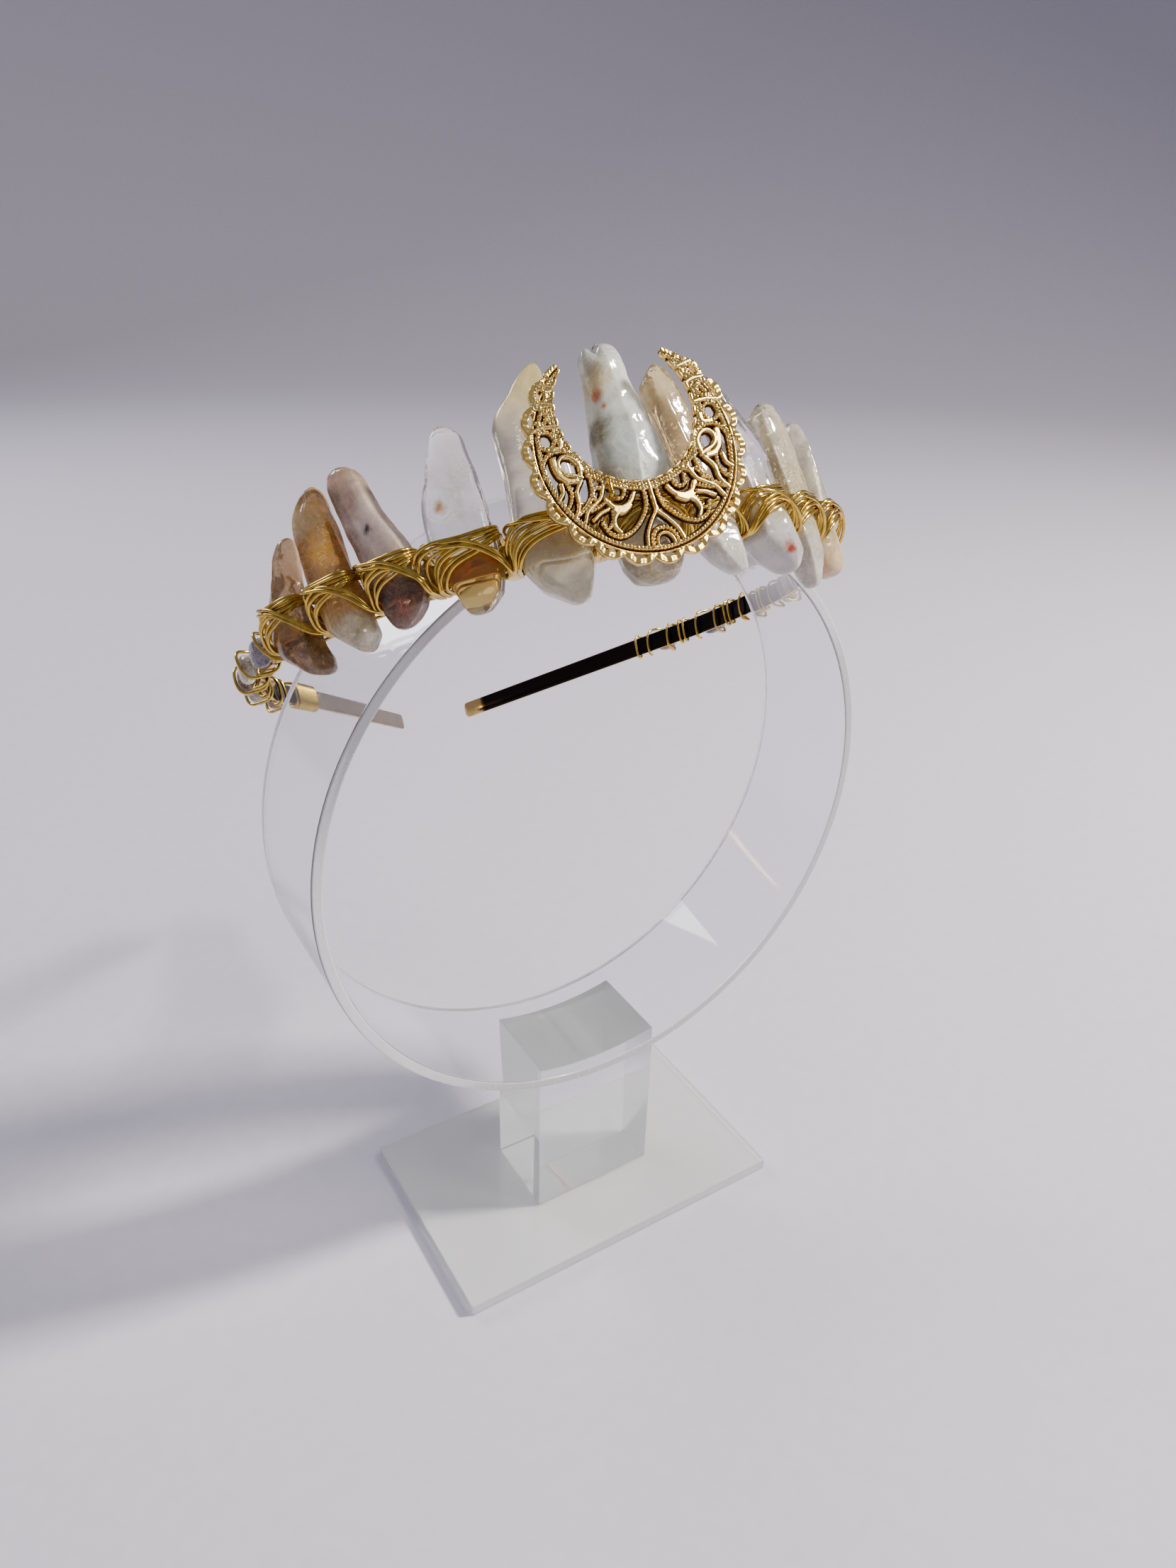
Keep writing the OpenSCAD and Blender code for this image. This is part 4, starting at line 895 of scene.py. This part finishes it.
for seed, ((arm, i, s), (tint, cloud)) in enumerate(zip(chips, CHIP_TINTS)):
    points, faces, own = pebble(s, 200 + seed)
    piece = solid(f"chip_stone_{arm}_{i + 1}", points, faces, CHIP_STONE)
    wander = ripple(own, 5.0, 300 + seed)
    paint(piece, np.array(tint) * (1 + 0.18 * wander[:, None]),
          np.clip(cloud + 0.2 * wander, 0, 1))
    fitted(piece, [f"chip_{arm}_{i + 1}"])

# Each arm has one long wire wound over the strip and its chips. On the left it ends in a
# close coil; on the right the turns stand apart.


def arm_turns(start, end, step, chips, first):
    """Seven stations a turn: three before the strip, one over each edge and two behind,
    spread by how far a rounded chip covers the place. Among the chips the turns bunch in
    the gaps."""
    bunch, boxy = 0.7, 2.6
    count = round(abs(end - start) / step) * 7
    i = np.arange(first, count + 1)
    s = start + (end - start) * i / count
    pitch = (chips[-1] - chips[0]) / (len(chips) - 1)
    bunched = s + pitch / 2 / np.pi * bunch * np.sin(2 * np.pi * (s - chips[0]) / pitch)
    among = (np.abs(s - np.mean(chips)) < abs(chips[-1] - chips[0]) / 2 + abs(pitch) / 2)
    s = np.where(among, bunched, s)
    near = np.abs(s[:, None] - np.array(chips)).min(1)
    e = np.clip(1 - (near / (CHIP_LENGTH / 2 + 0.6)) ** boxy, 0, 1) ** (1 / boxy)
    f = BAND_THICKNESS / 2 + WIRE_OFF - 0.06 + e * (
        POINT_SEAT + CHIP_THICKNESS * 0.95 - BAND_THICKNESS / 2)
    g = (BAND_WIDTH + e * (CHIP_HEIGHT - BAND_WIDTH)) / 2 + WIRE_OFF - 0.04
    j = i % 7
    d = np.select([j == 0, (j == 1) | (j == 6), (j == 2) | (j == 5)],
                  [f, f * (1 - 0.1 * e), f * (0.6 - 0.05 * e)], -WIRE_BACK)
    h = np.choose(j, [0 * g, 0.82 * g, g, 0 * g + BAND_WIDTH / 2 + WIRE_GAP,
                      0 * g - BAND_WIDTH / 2 - WIRE_GAP, -g, -0.82 * g])
    return np.stack([s, d, h], -1)


def arm_wire(path):
    """The wire through the winding's stations, its section led by the way out from the
    middle of what it goes round."""
    s, d, h = softened(eased(path, 4), 0.35, 4).T
    place = spot(s, d, h)
    return wire_tube(place, place - spot(s, np.minimum(0.5, d / 2 + 0.3), 0.0))


# The coil's length, the winding's room beside the points and its runs past the chips.
COIL_LENGTH, WINDING_ROOM, LEFT_RUN, RIGHT_RUN = 11, 2.6, 2, 4
left_end = LEFT_CHIPS[-1] - CHIP_LENGTH / 2 - LEFT_RUN
right_end = RIGHT_CHIPS[-1] + CHIP_LENGTH / 2 + RIGHT_RUN
windings = {
    "left": np.concatenate([
        arm_turns(LEFT_EDGE - WINDING_ROOM, left_end, LEFT_PITCH / 2, LEFT_CHIPS, 0),
        arm_turns(left_end, left_end - COIL_LENGTH, TURN_PITCH, LEFT_CHIPS, 1)]),
    "right": arm_turns(RIGHT_EDGE + WINDING_ROOM, right_end, RIGHT_PITCH / 4,
                       RIGHT_CHIPS, 0)}
for arm, path in windings.items():
    points, faces = arm_wire(path)
    piece = solid(f"arm_winding_{arm}", points, faces, WIRE_GOLD)
    fitted(piece, [f"arm_wire_{arm}"])

# The crescent is a stamped brass filigree with pierced cells, gold plated, with painted
# shade darkening its low places. It stands upright before the middle point on its wire tie.
MOON_RADIUS, MOON_INNER, MOON_OFFSET = 19.1, 11.7, 6.6
MOON_SHEET, MOON_RIDGE, MOON_GROUND, MOON_CORNER = 0.8, 0.35, 0.42, 0.75
MOON_BORDER, MOON_SCALLOPS, MOON_PETALS = 17.4, 22, 36
# Radii of the edge bands' inner sides, the scallops' foot and the holes through them.
OUTER_BAND, INNER_BAND, SCALLOP_FOOT, SCALLOP_HOLES = 15.75, 13.25, 17.3, 17.56
MOON_HORNS, MOON_HEIGHT, MOON_SHIFT = math.radians(30.5), 10.2, 1.3
MOON_TURN, MOON_ROLL, MOON_DEPTH = math.radians(-0.8), math.radians(4.0), 11.216
TIE_CELLS = [(-6.873, -6.612), (-6.719, -4.417)]
BEAD, LONG_BEAD = 0.55, 0.62
# The right half's raised lines: half width, bead length or 0 for plain, and the line.
MOON_LINES = [
    (0.30, 0.0, [(0.0, -5.4), (0.0, -8.4), (0.1, -10.2), (1.2, -11.6), (2.6, -13.6),
                 (3.2, -15.6)]),
    (0.36, 0.62, [(2.2, -15.9), (1.9, -14.4), (1.1, -13.4), (0.0, -13.05)]),
    (0.22, 0.0, [(1.5, -15.9), (1.25, -14.9), (0.7, -14.2), (0.0, -13.95)]),
    (0.36, 0.62, [(1.2, -5.4), (1.1, -7.2), (1.5, -9.4), (2.9, -11.2), (4.7, -12.6),
                  (6.8, -13.2), (8.6, -12.4), (9.4, -10.6)]),
    (0.40, 0.0, [(3.0, -6.9), (3.9, -8.1), (5.4, -8.7), (7.0, -8.3), (7.8, -7.0)]),
    (0.62, 0.0, [(4.4, -8.7), (5.6, -9.3), (6.8, -9.0)]),
    (0.34, 0.62, [(4.3, -5.0), (4.4, -6.4), (5.2, -7.2), (6.2, -6.9), (6.5, -5.4)]),
    (0.34, 0.62, [(6.5, -4.4), (7.7, -5.0), (8.9, -4.9), (9.6, -5.9), (9.4, -7.0)]),
    (0.36, 0.0, [(6.0, -9.2), (7.1, -10.0), (7.6, -11.4), (7.0, -12.6)]),
    (0.30, 0.55, [(7.2, -9.0), (7.6, -10.4), (8.4, -11.4)]),
    (0.34, 0.0, [(7.9, -8.6), (9.3, -9.0), (10.7, -9.8)]),
    (0.30, 0.55, [(8.0, -7.4), (9.4, -8.0), (10.9, -8.4)]),
    (0.34, 0.0, [(7.4, -4.2), (8.4, -6.4), (9.6, -7.3), (11.2, -8.3), (12.2, -9.9)]),
    (0.36, 0.62, [(9.2, -3.0), (9.6, -5.6), (10.8, -7.2), (12.9, -8.6)]),
    (0.36, 0.62, [(9.6, -2.6), (9.7, -0.6), (10.8, 1.0), (12.8, 1.9), (14.8, 1.6),
                  (16.1, 0.2), (16.4, -1.8)]),
    (0.36, 0.0, [(10.6, -2.4), (10.5, -0.8), (11.3, 0.4), (12.6, 0.9), (13.6, 0.2),
                 (13.7, -1.0), (12.9, -1.9), (11.6, -2.4), (10.6, -2.9)]),
    (0.52, 0.0, [(11.6, -3.2), (12.9, -3.0), (14.0, -2.0), (14.4, -0.6), (14.4, 0.6)]),
    (0.34, 0.0, [(10.9, -3.4), (12.1, -5.0), (12.4, -7.2), (13.6, -9.1)]),
    (0.30, 0.55, [(13.2, -3.4), (12.9, -5.0), (13.6, -6.6), (14.6, -7.6)]),
    (0.34, 0.0, [(14.2, -3.4), (14.4, -4.8), (15.3, -5.8)]),
    (0.42, 0.0, [(12.3, 3.6), (12.6, 2.4), (13.9, 2.2)]),
    (0.34, 0.55, [(13.1, 3.7), (13.6, 2.7), (14.6, 2.4), (15.5, 2.9), (15.9, 3.9),
                  (15.5, 4.9), (14.5, 5.3), (13.5, 4.8), (13.1, 3.7)]),
    (0.34, 0.55, [(13.3, 7.6), (13.8, 6.7), (14.8, 6.5), (15.6, 7.1), (15.8, 8.1),
                  (15.2, 9.0), (14.2, 9.1), (13.4, 8.5), (13.3, 7.6)]),
    (0.30, 0.55, [(12.4, 11.0), (12.9, 10.1), (13.8, 10.0), (14.3, 10.8), (14.0, 11.8),
                  (13.1, 12.1), (12.4, 11.7), (12.4, 11.0)]),
    (0.28, 0.55, [(11.0, 13.4), (11.4, 12.7), (12.1, 12.7), (12.5, 13.3), (12.1, 14.0),
                  (11.4, 14.1), (11.0, 13.4)]),
    (0.36, 0.0, [(12.0, 5.8), (13.2, 5.9), (14.6, 5.9), (16.2, 5.6)]),
    (0.36, 0.0, [(11.8, 9.2), (13.0, 9.6), (14.8, 9.7)]),
    (0.34, 0.0, [(11.0, 12.0), (12.2, 12.3), (13.4, 12.6)])]


def to_line(path, p):
    """Distance from each point to the smooth curve through a path, and how far along it
    the nearest place lies: the least over the curve's short straight lengths."""
    line = eased(np.array(path), 6)
    a, way = line[:-1], np.diff(line, axis=0)
    size = (way ** 2).sum(1)
    t = np.clip(((p[:, None] - a) * way).sum(-1) / size, 0, 1)
    apart = np.linalg.norm(p[:, None] - a - t[..., None] * way, axis=-1)
    best = apart.argmin(1)
    row = np.arange(len(p))
    run = np.concatenate([[0], np.cumsum(np.sqrt(size))])
    return apart[row, best], run[best] + t[row, best] * np.sqrt(size)[best]


def crown(apart, half, along, bead):
    """Height share of a raised line: a half round with a flat struck top across it, and
    dimpled along it for beads."""
    swell = np.minimum(1.4 * np.sqrt(np.clip(1 - (apart / half) ** 2, 0, 1)), 1)
    if bead:
        swell = swell * (0.12 + 0.88 * np.sqrt(np.abs(np.cos(np.pi * along / bead))))
    return swell


def filigree(u, v):
    """Metal and height over the crescent's face. Metal is a signed distance: the two edge
    bands and every raised line together, cut by the outline and the pierced cells. Height
    is the greatest of the bands' and the lines' crowns."""
    p = np.stack([np.abs(u), v], -1)
    rim, hole = np.hypot(u, v), np.hypot(u, v - MOON_OFFSET)
    angle = np.arctan2(u, -v)
    lobe = 2 * np.pi / MOON_SCALLOPS
    off = (angle + lobe / 2) % lobe - lobe / 2
    horn = p[:, 0] * math.cos(MOON_HORNS) - v * math.sin(MOON_HORNS)
    full = np.clip((horn - 1.5) / 4, 0, 1)
    swell = 1 - (2 * off / lobe) ** 2
    bow = MOON_BORDER + 1.2 * (swell * full + 0.5 * (1 - full))
    edge = bow + 0.42 - rim
    petal = np.arctan2(u, MOON_OFFSET - v)
    step = 2 * np.pi / MOON_PETALS
    dip = (petal + step / 2) % step - step / 2
    inner = hole - MOON_INNER - 0.28 * (2 * dip / step) ** 2
    round_off = MOON_CORNER - np.stack([edge, inner, horn])
    shape = MOON_CORNER - np.linalg.norm(np.maximum(round_off, 0), axis=0)
    metal = np.maximum(rim - OUTER_BAND, INNER_BAND - hole)
    height = np.full(rim.shape, MOON_GROUND)
    around = rim * angle
    inward = hole * petal
    for line, middle, wide, along, bead, lift in (
            (rim, 16.25, 0.36, around, LONG_BEAD, 0.7), (rim, 17.1, 0.2, around, 0, 0.35),
            (hole, MOON_INNER + 1.3, 0.3, inward, BEAD, 0.68),
            (hole, MOON_INNER + 0.74, 0.27, inward, BEAD, 0.68)):
        raised = lift * crown(np.abs(line - middle), wide, along, bead)
        height = np.maximum(height, MOON_GROUND + raised)
    height = np.where(metal > 0, height, 0)
    ruffle = 0.5 + 0.5 * np.cos(6 * np.pi * off / lobe)
    pad = crown(np.abs(rim - bow + 0.25), 0.8, 0, 0) * (0.78 + 0.22 * ruffle)
    pad = np.where(full < 0.7, crown(np.abs(rim - 17.9), 0.42, around, LONG_BEAD), pad)
    height = np.where(rim > SCALLOP_FOOT, 0.35 + 0.56 * pad, height)
    across, deep = hole * np.sin(dip) * 0.5, hole * np.cos(dip) - MOON_INNER - 0.12
    oval = crown(np.hypot(across, deep), 0.48, 0, 0)
    height = np.where(hole < MOON_INNER + 0.42, 0.35 + 0.78 * oval, height)
    for wide, bead, path in MOON_LINES:
        apart, along = to_line(path, p)
        metal = np.maximum(metal, wide + 0.2 - apart)
        mark = 0.4 + 0.74 * crown(apart, wide, along, bead)
        height = np.maximum(height, np.where(apart < wide + 0.2, mark, 0))
    for cu, cv in TIE_CELLS:
        metal = np.minimum(metal, np.hypot(u - cu, v - cv) - WIRE * 1.3)
    lens = np.hypot((rim - SCALLOP_HOLES) / 0.36, off / lobe / 0.24) - 1
    metal = np.minimum(metal, np.where(full < 1, 1, lens * 0.36))
    return np.minimum(metal, shape), np.clip(height, 0.3, MOON_SHEET + MOON_RIDGE)


def corners(grid):
    """The grid's values at the four corners of each of its squares, going round."""
    return grid[:-1, :-1], grid[1:, :-1], grid[1:, 1:], grid[:-1, 1:]


def crescent_sheet():
    """The face as a grid of small squares kept where there is metal, its border points
    drawn onto the edge along the distance's slope, with a flat back and walls between."""
    step, reach, top = 0.12, 162, 137
    u = np.arange(-reach, reach + 1) * step
    v = np.arange(-reach, top + 1) * step
    gu, gv = np.meshgrid(u, v, indexing="ij")
    rim, hole = np.hypot(gu, gv), np.hypot(gu, gv - MOON_OFFSET)
    near = (rim < MOON_RADIUS + 0.4) & (hole > MOON_INNER - 0.7)
    metal, height = np.full(gu.shape, -1.0), np.zeros(gu.shape)
    metal[near], height[near] = filigree(gu[near], gv[near])
    slope = np.stack(np.gradient(metal, step), -1)
    size = np.maximum((slope ** 2).sum(-1), 0.25)
    cell = np.all(corners(metal > -0.45 * step), axis=0)
    for _ in range(2):
        a, b, c, d = corners(cell)
        fill = (a & c & ~b & ~d) | (b & d & ~a & ~c)
        for view in (a, b, c, d):
            view |= fill
    ring_of = np.pad(cell, 1)
    some, full = np.any(corners(ring_of), axis=0), np.all(corners(ring_of), axis=0)
    move = np.where(some & ~full, np.clip(metal, -0.8 * step, 0.8 * step) / size, 0)
    gu, gv = gu - move * slope[..., 0], gv - move * slope[..., 1]
    count = int(some.sum())
    index = np.full(some.shape, -1)
    index[some] = np.arange(count)
    i, j = np.nonzero(cell)
    a, b, c, d = (corner[i, j] for corner in corners(index))
    front = np.stack([a, b, c, d], -1)
    walls = []
    for p, q, filled in ((a, b, ring_of[i + 1, j]), (b, c, ring_of[i + 2, j + 1]),
                         (c, d, ring_of[i + 1, j + 2]), (d, a, ring_of[i, j + 1])):
        p, q = p[~filled], q[~filled]
        walls.append(np.stack([q, p, p + count, q + count], -1))
    faces = np.concatenate([front, front[:, ::-1] + count] + walls)
    w = height[some]
    face = np.stack([gu[some], gv[some], w], -1)
    back = np.stack([gu[some], gv[some], np.zeros(count)], -1)
    # Painted shade: the lower a place lies below the lines' tops, the darker its gold.
    recess_shade = np.clip((0.88 - w) / 0.42, 0, 1)
    return np.concatenate([face, back]), faces, np.concatenate([recess_shade, recess_shade])


def before_middle(p):
    """From the crescent's face (right, up, outward) to its place before the middle point:
    rolled in its face, turned about the upright and moved out and up."""
    u, v, w = np.asarray(p, float).T
    u, v = turned(u, v, MOON_ROLL)
    w, u = turned(w, u, MOON_TURN)
    return at_point(6, u - MOON_SHIFT, w + MOON_DEPTH, v + MOON_HEIGHT)


def filigree_gold():
    """Bright plated gold on the raised lines, turning dark brown to near black in the low
    places as painted shade, with the plating's fine grain."""
    material, tree, shader = finish_of("filigree_gold", Metallic=1.0)
    low = stored(tree, "recess_shade")
    graded(tree, shader, "Base Color", low, [
        (0.0, (1.0, 0.74, 0.25)), (0.3, (0.94, 0.62, 0.15)), (0.62, (0.34, 0.17, 0.035)),
        (1.0, (0.04, 0.017, 0.006))])
    graded(tree, shader, "Roughness", low, [(0.0, grey(0.14)), (0.9, grey(0.4))])
    grain = noise_node(tree, 2600.0, 3.0, 0.6)
    bump_node(tree, shader, grain, 0.00003, 0.5)
    return material


points, faces, recess_shade = crescent_sheet()
moon = solid("crescent_filigree", before_middle(points), faces.tolist(), filigree_gold())
store(moon, "recess_shade", recess_shade)
fitted(moon, ["crescent"])

# The tie is a staple of the same gold-coloured wire. Its two ends grip the strip between
# points 5 and 6, and its loop passes out through one hole of the crescent and back
# through the next.
TIE_LOW, TIE_X = BAND_WIDTH / 2 + WIRE_GAP + WIRE / 2 + 0.3, -7.694
TIE_HIGH = TIE_LOW + 2.2
MOON_FACE = MOON_DEPTH - (TIE_X + MOON_SHIFT) * math.tan(MOON_TURN)
front = MOON_FACE + MOON_SHEET + MOON_RIDGE + WIRE_OFF
back, w = -WIRE_BACK - TIE_X ** 2 / 2 / BAND_RADIUS, WIRE * 0.65
end = [(w, back, -0.8), (w, back, TIE_LOW - 0.9), (w, back + 0.3, TIE_LOW - 0.2),
       (w, back + 0.9, TIE_LOW)]
loop = [(0, 2.5, TIE_LOW), (0, front - 0.7, TIE_LOW), (0, front - 0.1, TIE_LOW + 0.25),
        (0, front, TIE_LOW + 0.8), (0, front, TIE_HIGH - 0.8),
        (0, front - 0.1, TIE_HIGH - 0.25), (0, front - 0.7, TIE_HIGH),
        (0, 2.5, TIE_LOW + 1.2)]
path = eased(np.array([(-x, d, h) for x, d, h in end] + loop + end[::-1])
             + (TIE_X, 0, 0), 4)
guide = at_point(6, 1.0, 0.0, 0.0) - at_point(6, 0.0, 0.0, 0.0)
points, faces = wire_tube(at_point(6, *path.T), guide)
fitted(solid("crescent_staple", points, faces, WIRE_GOLD), ["crescent_tie"])

# The floor is plain pale studio paper whose far edge sweeps up, seamless on every side.
# It is no part of the object.


def studio_floor():
    """A round sheet, flat to 1.3 m out, then rising on a quarter sine to 2.4 m. It lies a
    hair below the base plate."""
    r = np.concatenate([[0.0], np.geomspace(0.05, 3.6, 60)])[:, None]
    a = once_round(96)
    lift = 2.4 * (1 - np.cos(np.pi / 2 * np.clip((r - 1.3) / 2.3, 0, 1)))
    points = np.stack([r * np.cos(a), r * np.sin(a), lift - 0.0002 + 0 * a], -1)
    faces = rounds(r.size, a.size)[:, [0, 3, 2, 1]]
    return points.reshape(-1, 3) / MM, faces.tolist()


def floor_paper():
    """Matt off-white paper with a faint fibre and the slightest unevenness of tone."""
    material, tree, shader = finish_of("floor_paper", Roughness=0.85)
    fibre = noise_node(tree, 220.0, 4.0, 0.6)
    graded(tree, shader, "Base Color", fibre,
           [(0.3, (0.58, 0.55, 0.66)), (0.7, (0.61, 0.58, 0.69))])
    return material


points, faces = studio_floor()
solid("studio_floor", points, faces, floor_paper())


def facing(right, up, back, place):
    """The placement whose axes point right, up and back."""
    rows = np.column_stack([right, up, back, place]).tolist()
    return Matrix(rows + [[0, 0, 0, 1]])


def soft_light(name, place, target, size, power, colour):
    """A square soft box at a place, facing the target."""
    light = bpy.data.lights.new(name, "AREA")
    light.shape, light.size = "SQUARE", size
    light.energy, light.color = power, colour
    box = bpy.data.objects.new(name, light)
    bpy.context.scene.collection.objects.link(box)
    back = unit(np.subtract(place, target))
    right = unit(np.cross((0, 0, 1), back))
    box.matrix_world = facing(right, np.cross(back, right), back, place)


# A small warm key from the right, a front light that the crescent's face sends back to
# the camera, a cool light from behind, and a soft even surround.
soft_light("key_box", (0.75, -0.35, 0.85), (0, 0, 0.15), 0.14, 25.0, (1.0, 0.94, 0.84))
soft_light("front_box", (0.44, -0.69, 0.98), (0, 0, 0.17), 0.3, 3.8, (1.0, 0.95, 0.87))
soft_light("back_box", (-0.35, 0.95, 0.7), (0, 0, 0.14), 0.45, 7.0, (0.96, 0.97, 1.0))
world = bpy.data.worlds.new("studio")
bpy.context.scene.world = world
world.use_nodes = True
surround = world.node_tree.nodes["Background"]
surround.inputs["Color"].default_value = (0.8, 0.79, 0.86, 1)
surround.inputs["Strength"].default_value = 0.33

# The camera stands in front of the diadem's left side, a little above it. Its focal
# length and the picture's height are in picture points.
FOCAL, PICTURE_HEIGHT, SENSOR = 1546.65, 2212, 36.0
CAMERA_PLACE = (-0.10978, -0.17615, 0.2259)
azimuth, elevation, roll = math.radians(-32.35), math.radians(28.42), math.radians(1.56)
back = np.array([math.sin(azimuth) * math.cos(elevation),
                 -math.cos(azimuth) * math.cos(elevation), math.sin(elevation)])
right = np.array([math.cos(azimuth), math.sin(azimuth), 0.0])
up = np.cross(back, right)
up, right = turned(up, right, roll)
lens = bpy.data.cameras.new("camera")
lens.sensor_fit, lens.sensor_height = "VERTICAL", SENSOR
lens.lens = SENSOR * FOCAL / PICTURE_HEIGHT
lens.clip_start, lens.clip_end = 0.01, 20.0
camera = bpy.data.objects.new("camera", lens)
bpy.context.scene.collection.objects.link(camera)
camera.matrix_world = facing(right, up, back, CAMERA_PLACE)
bpy.context.scene.camera = camera
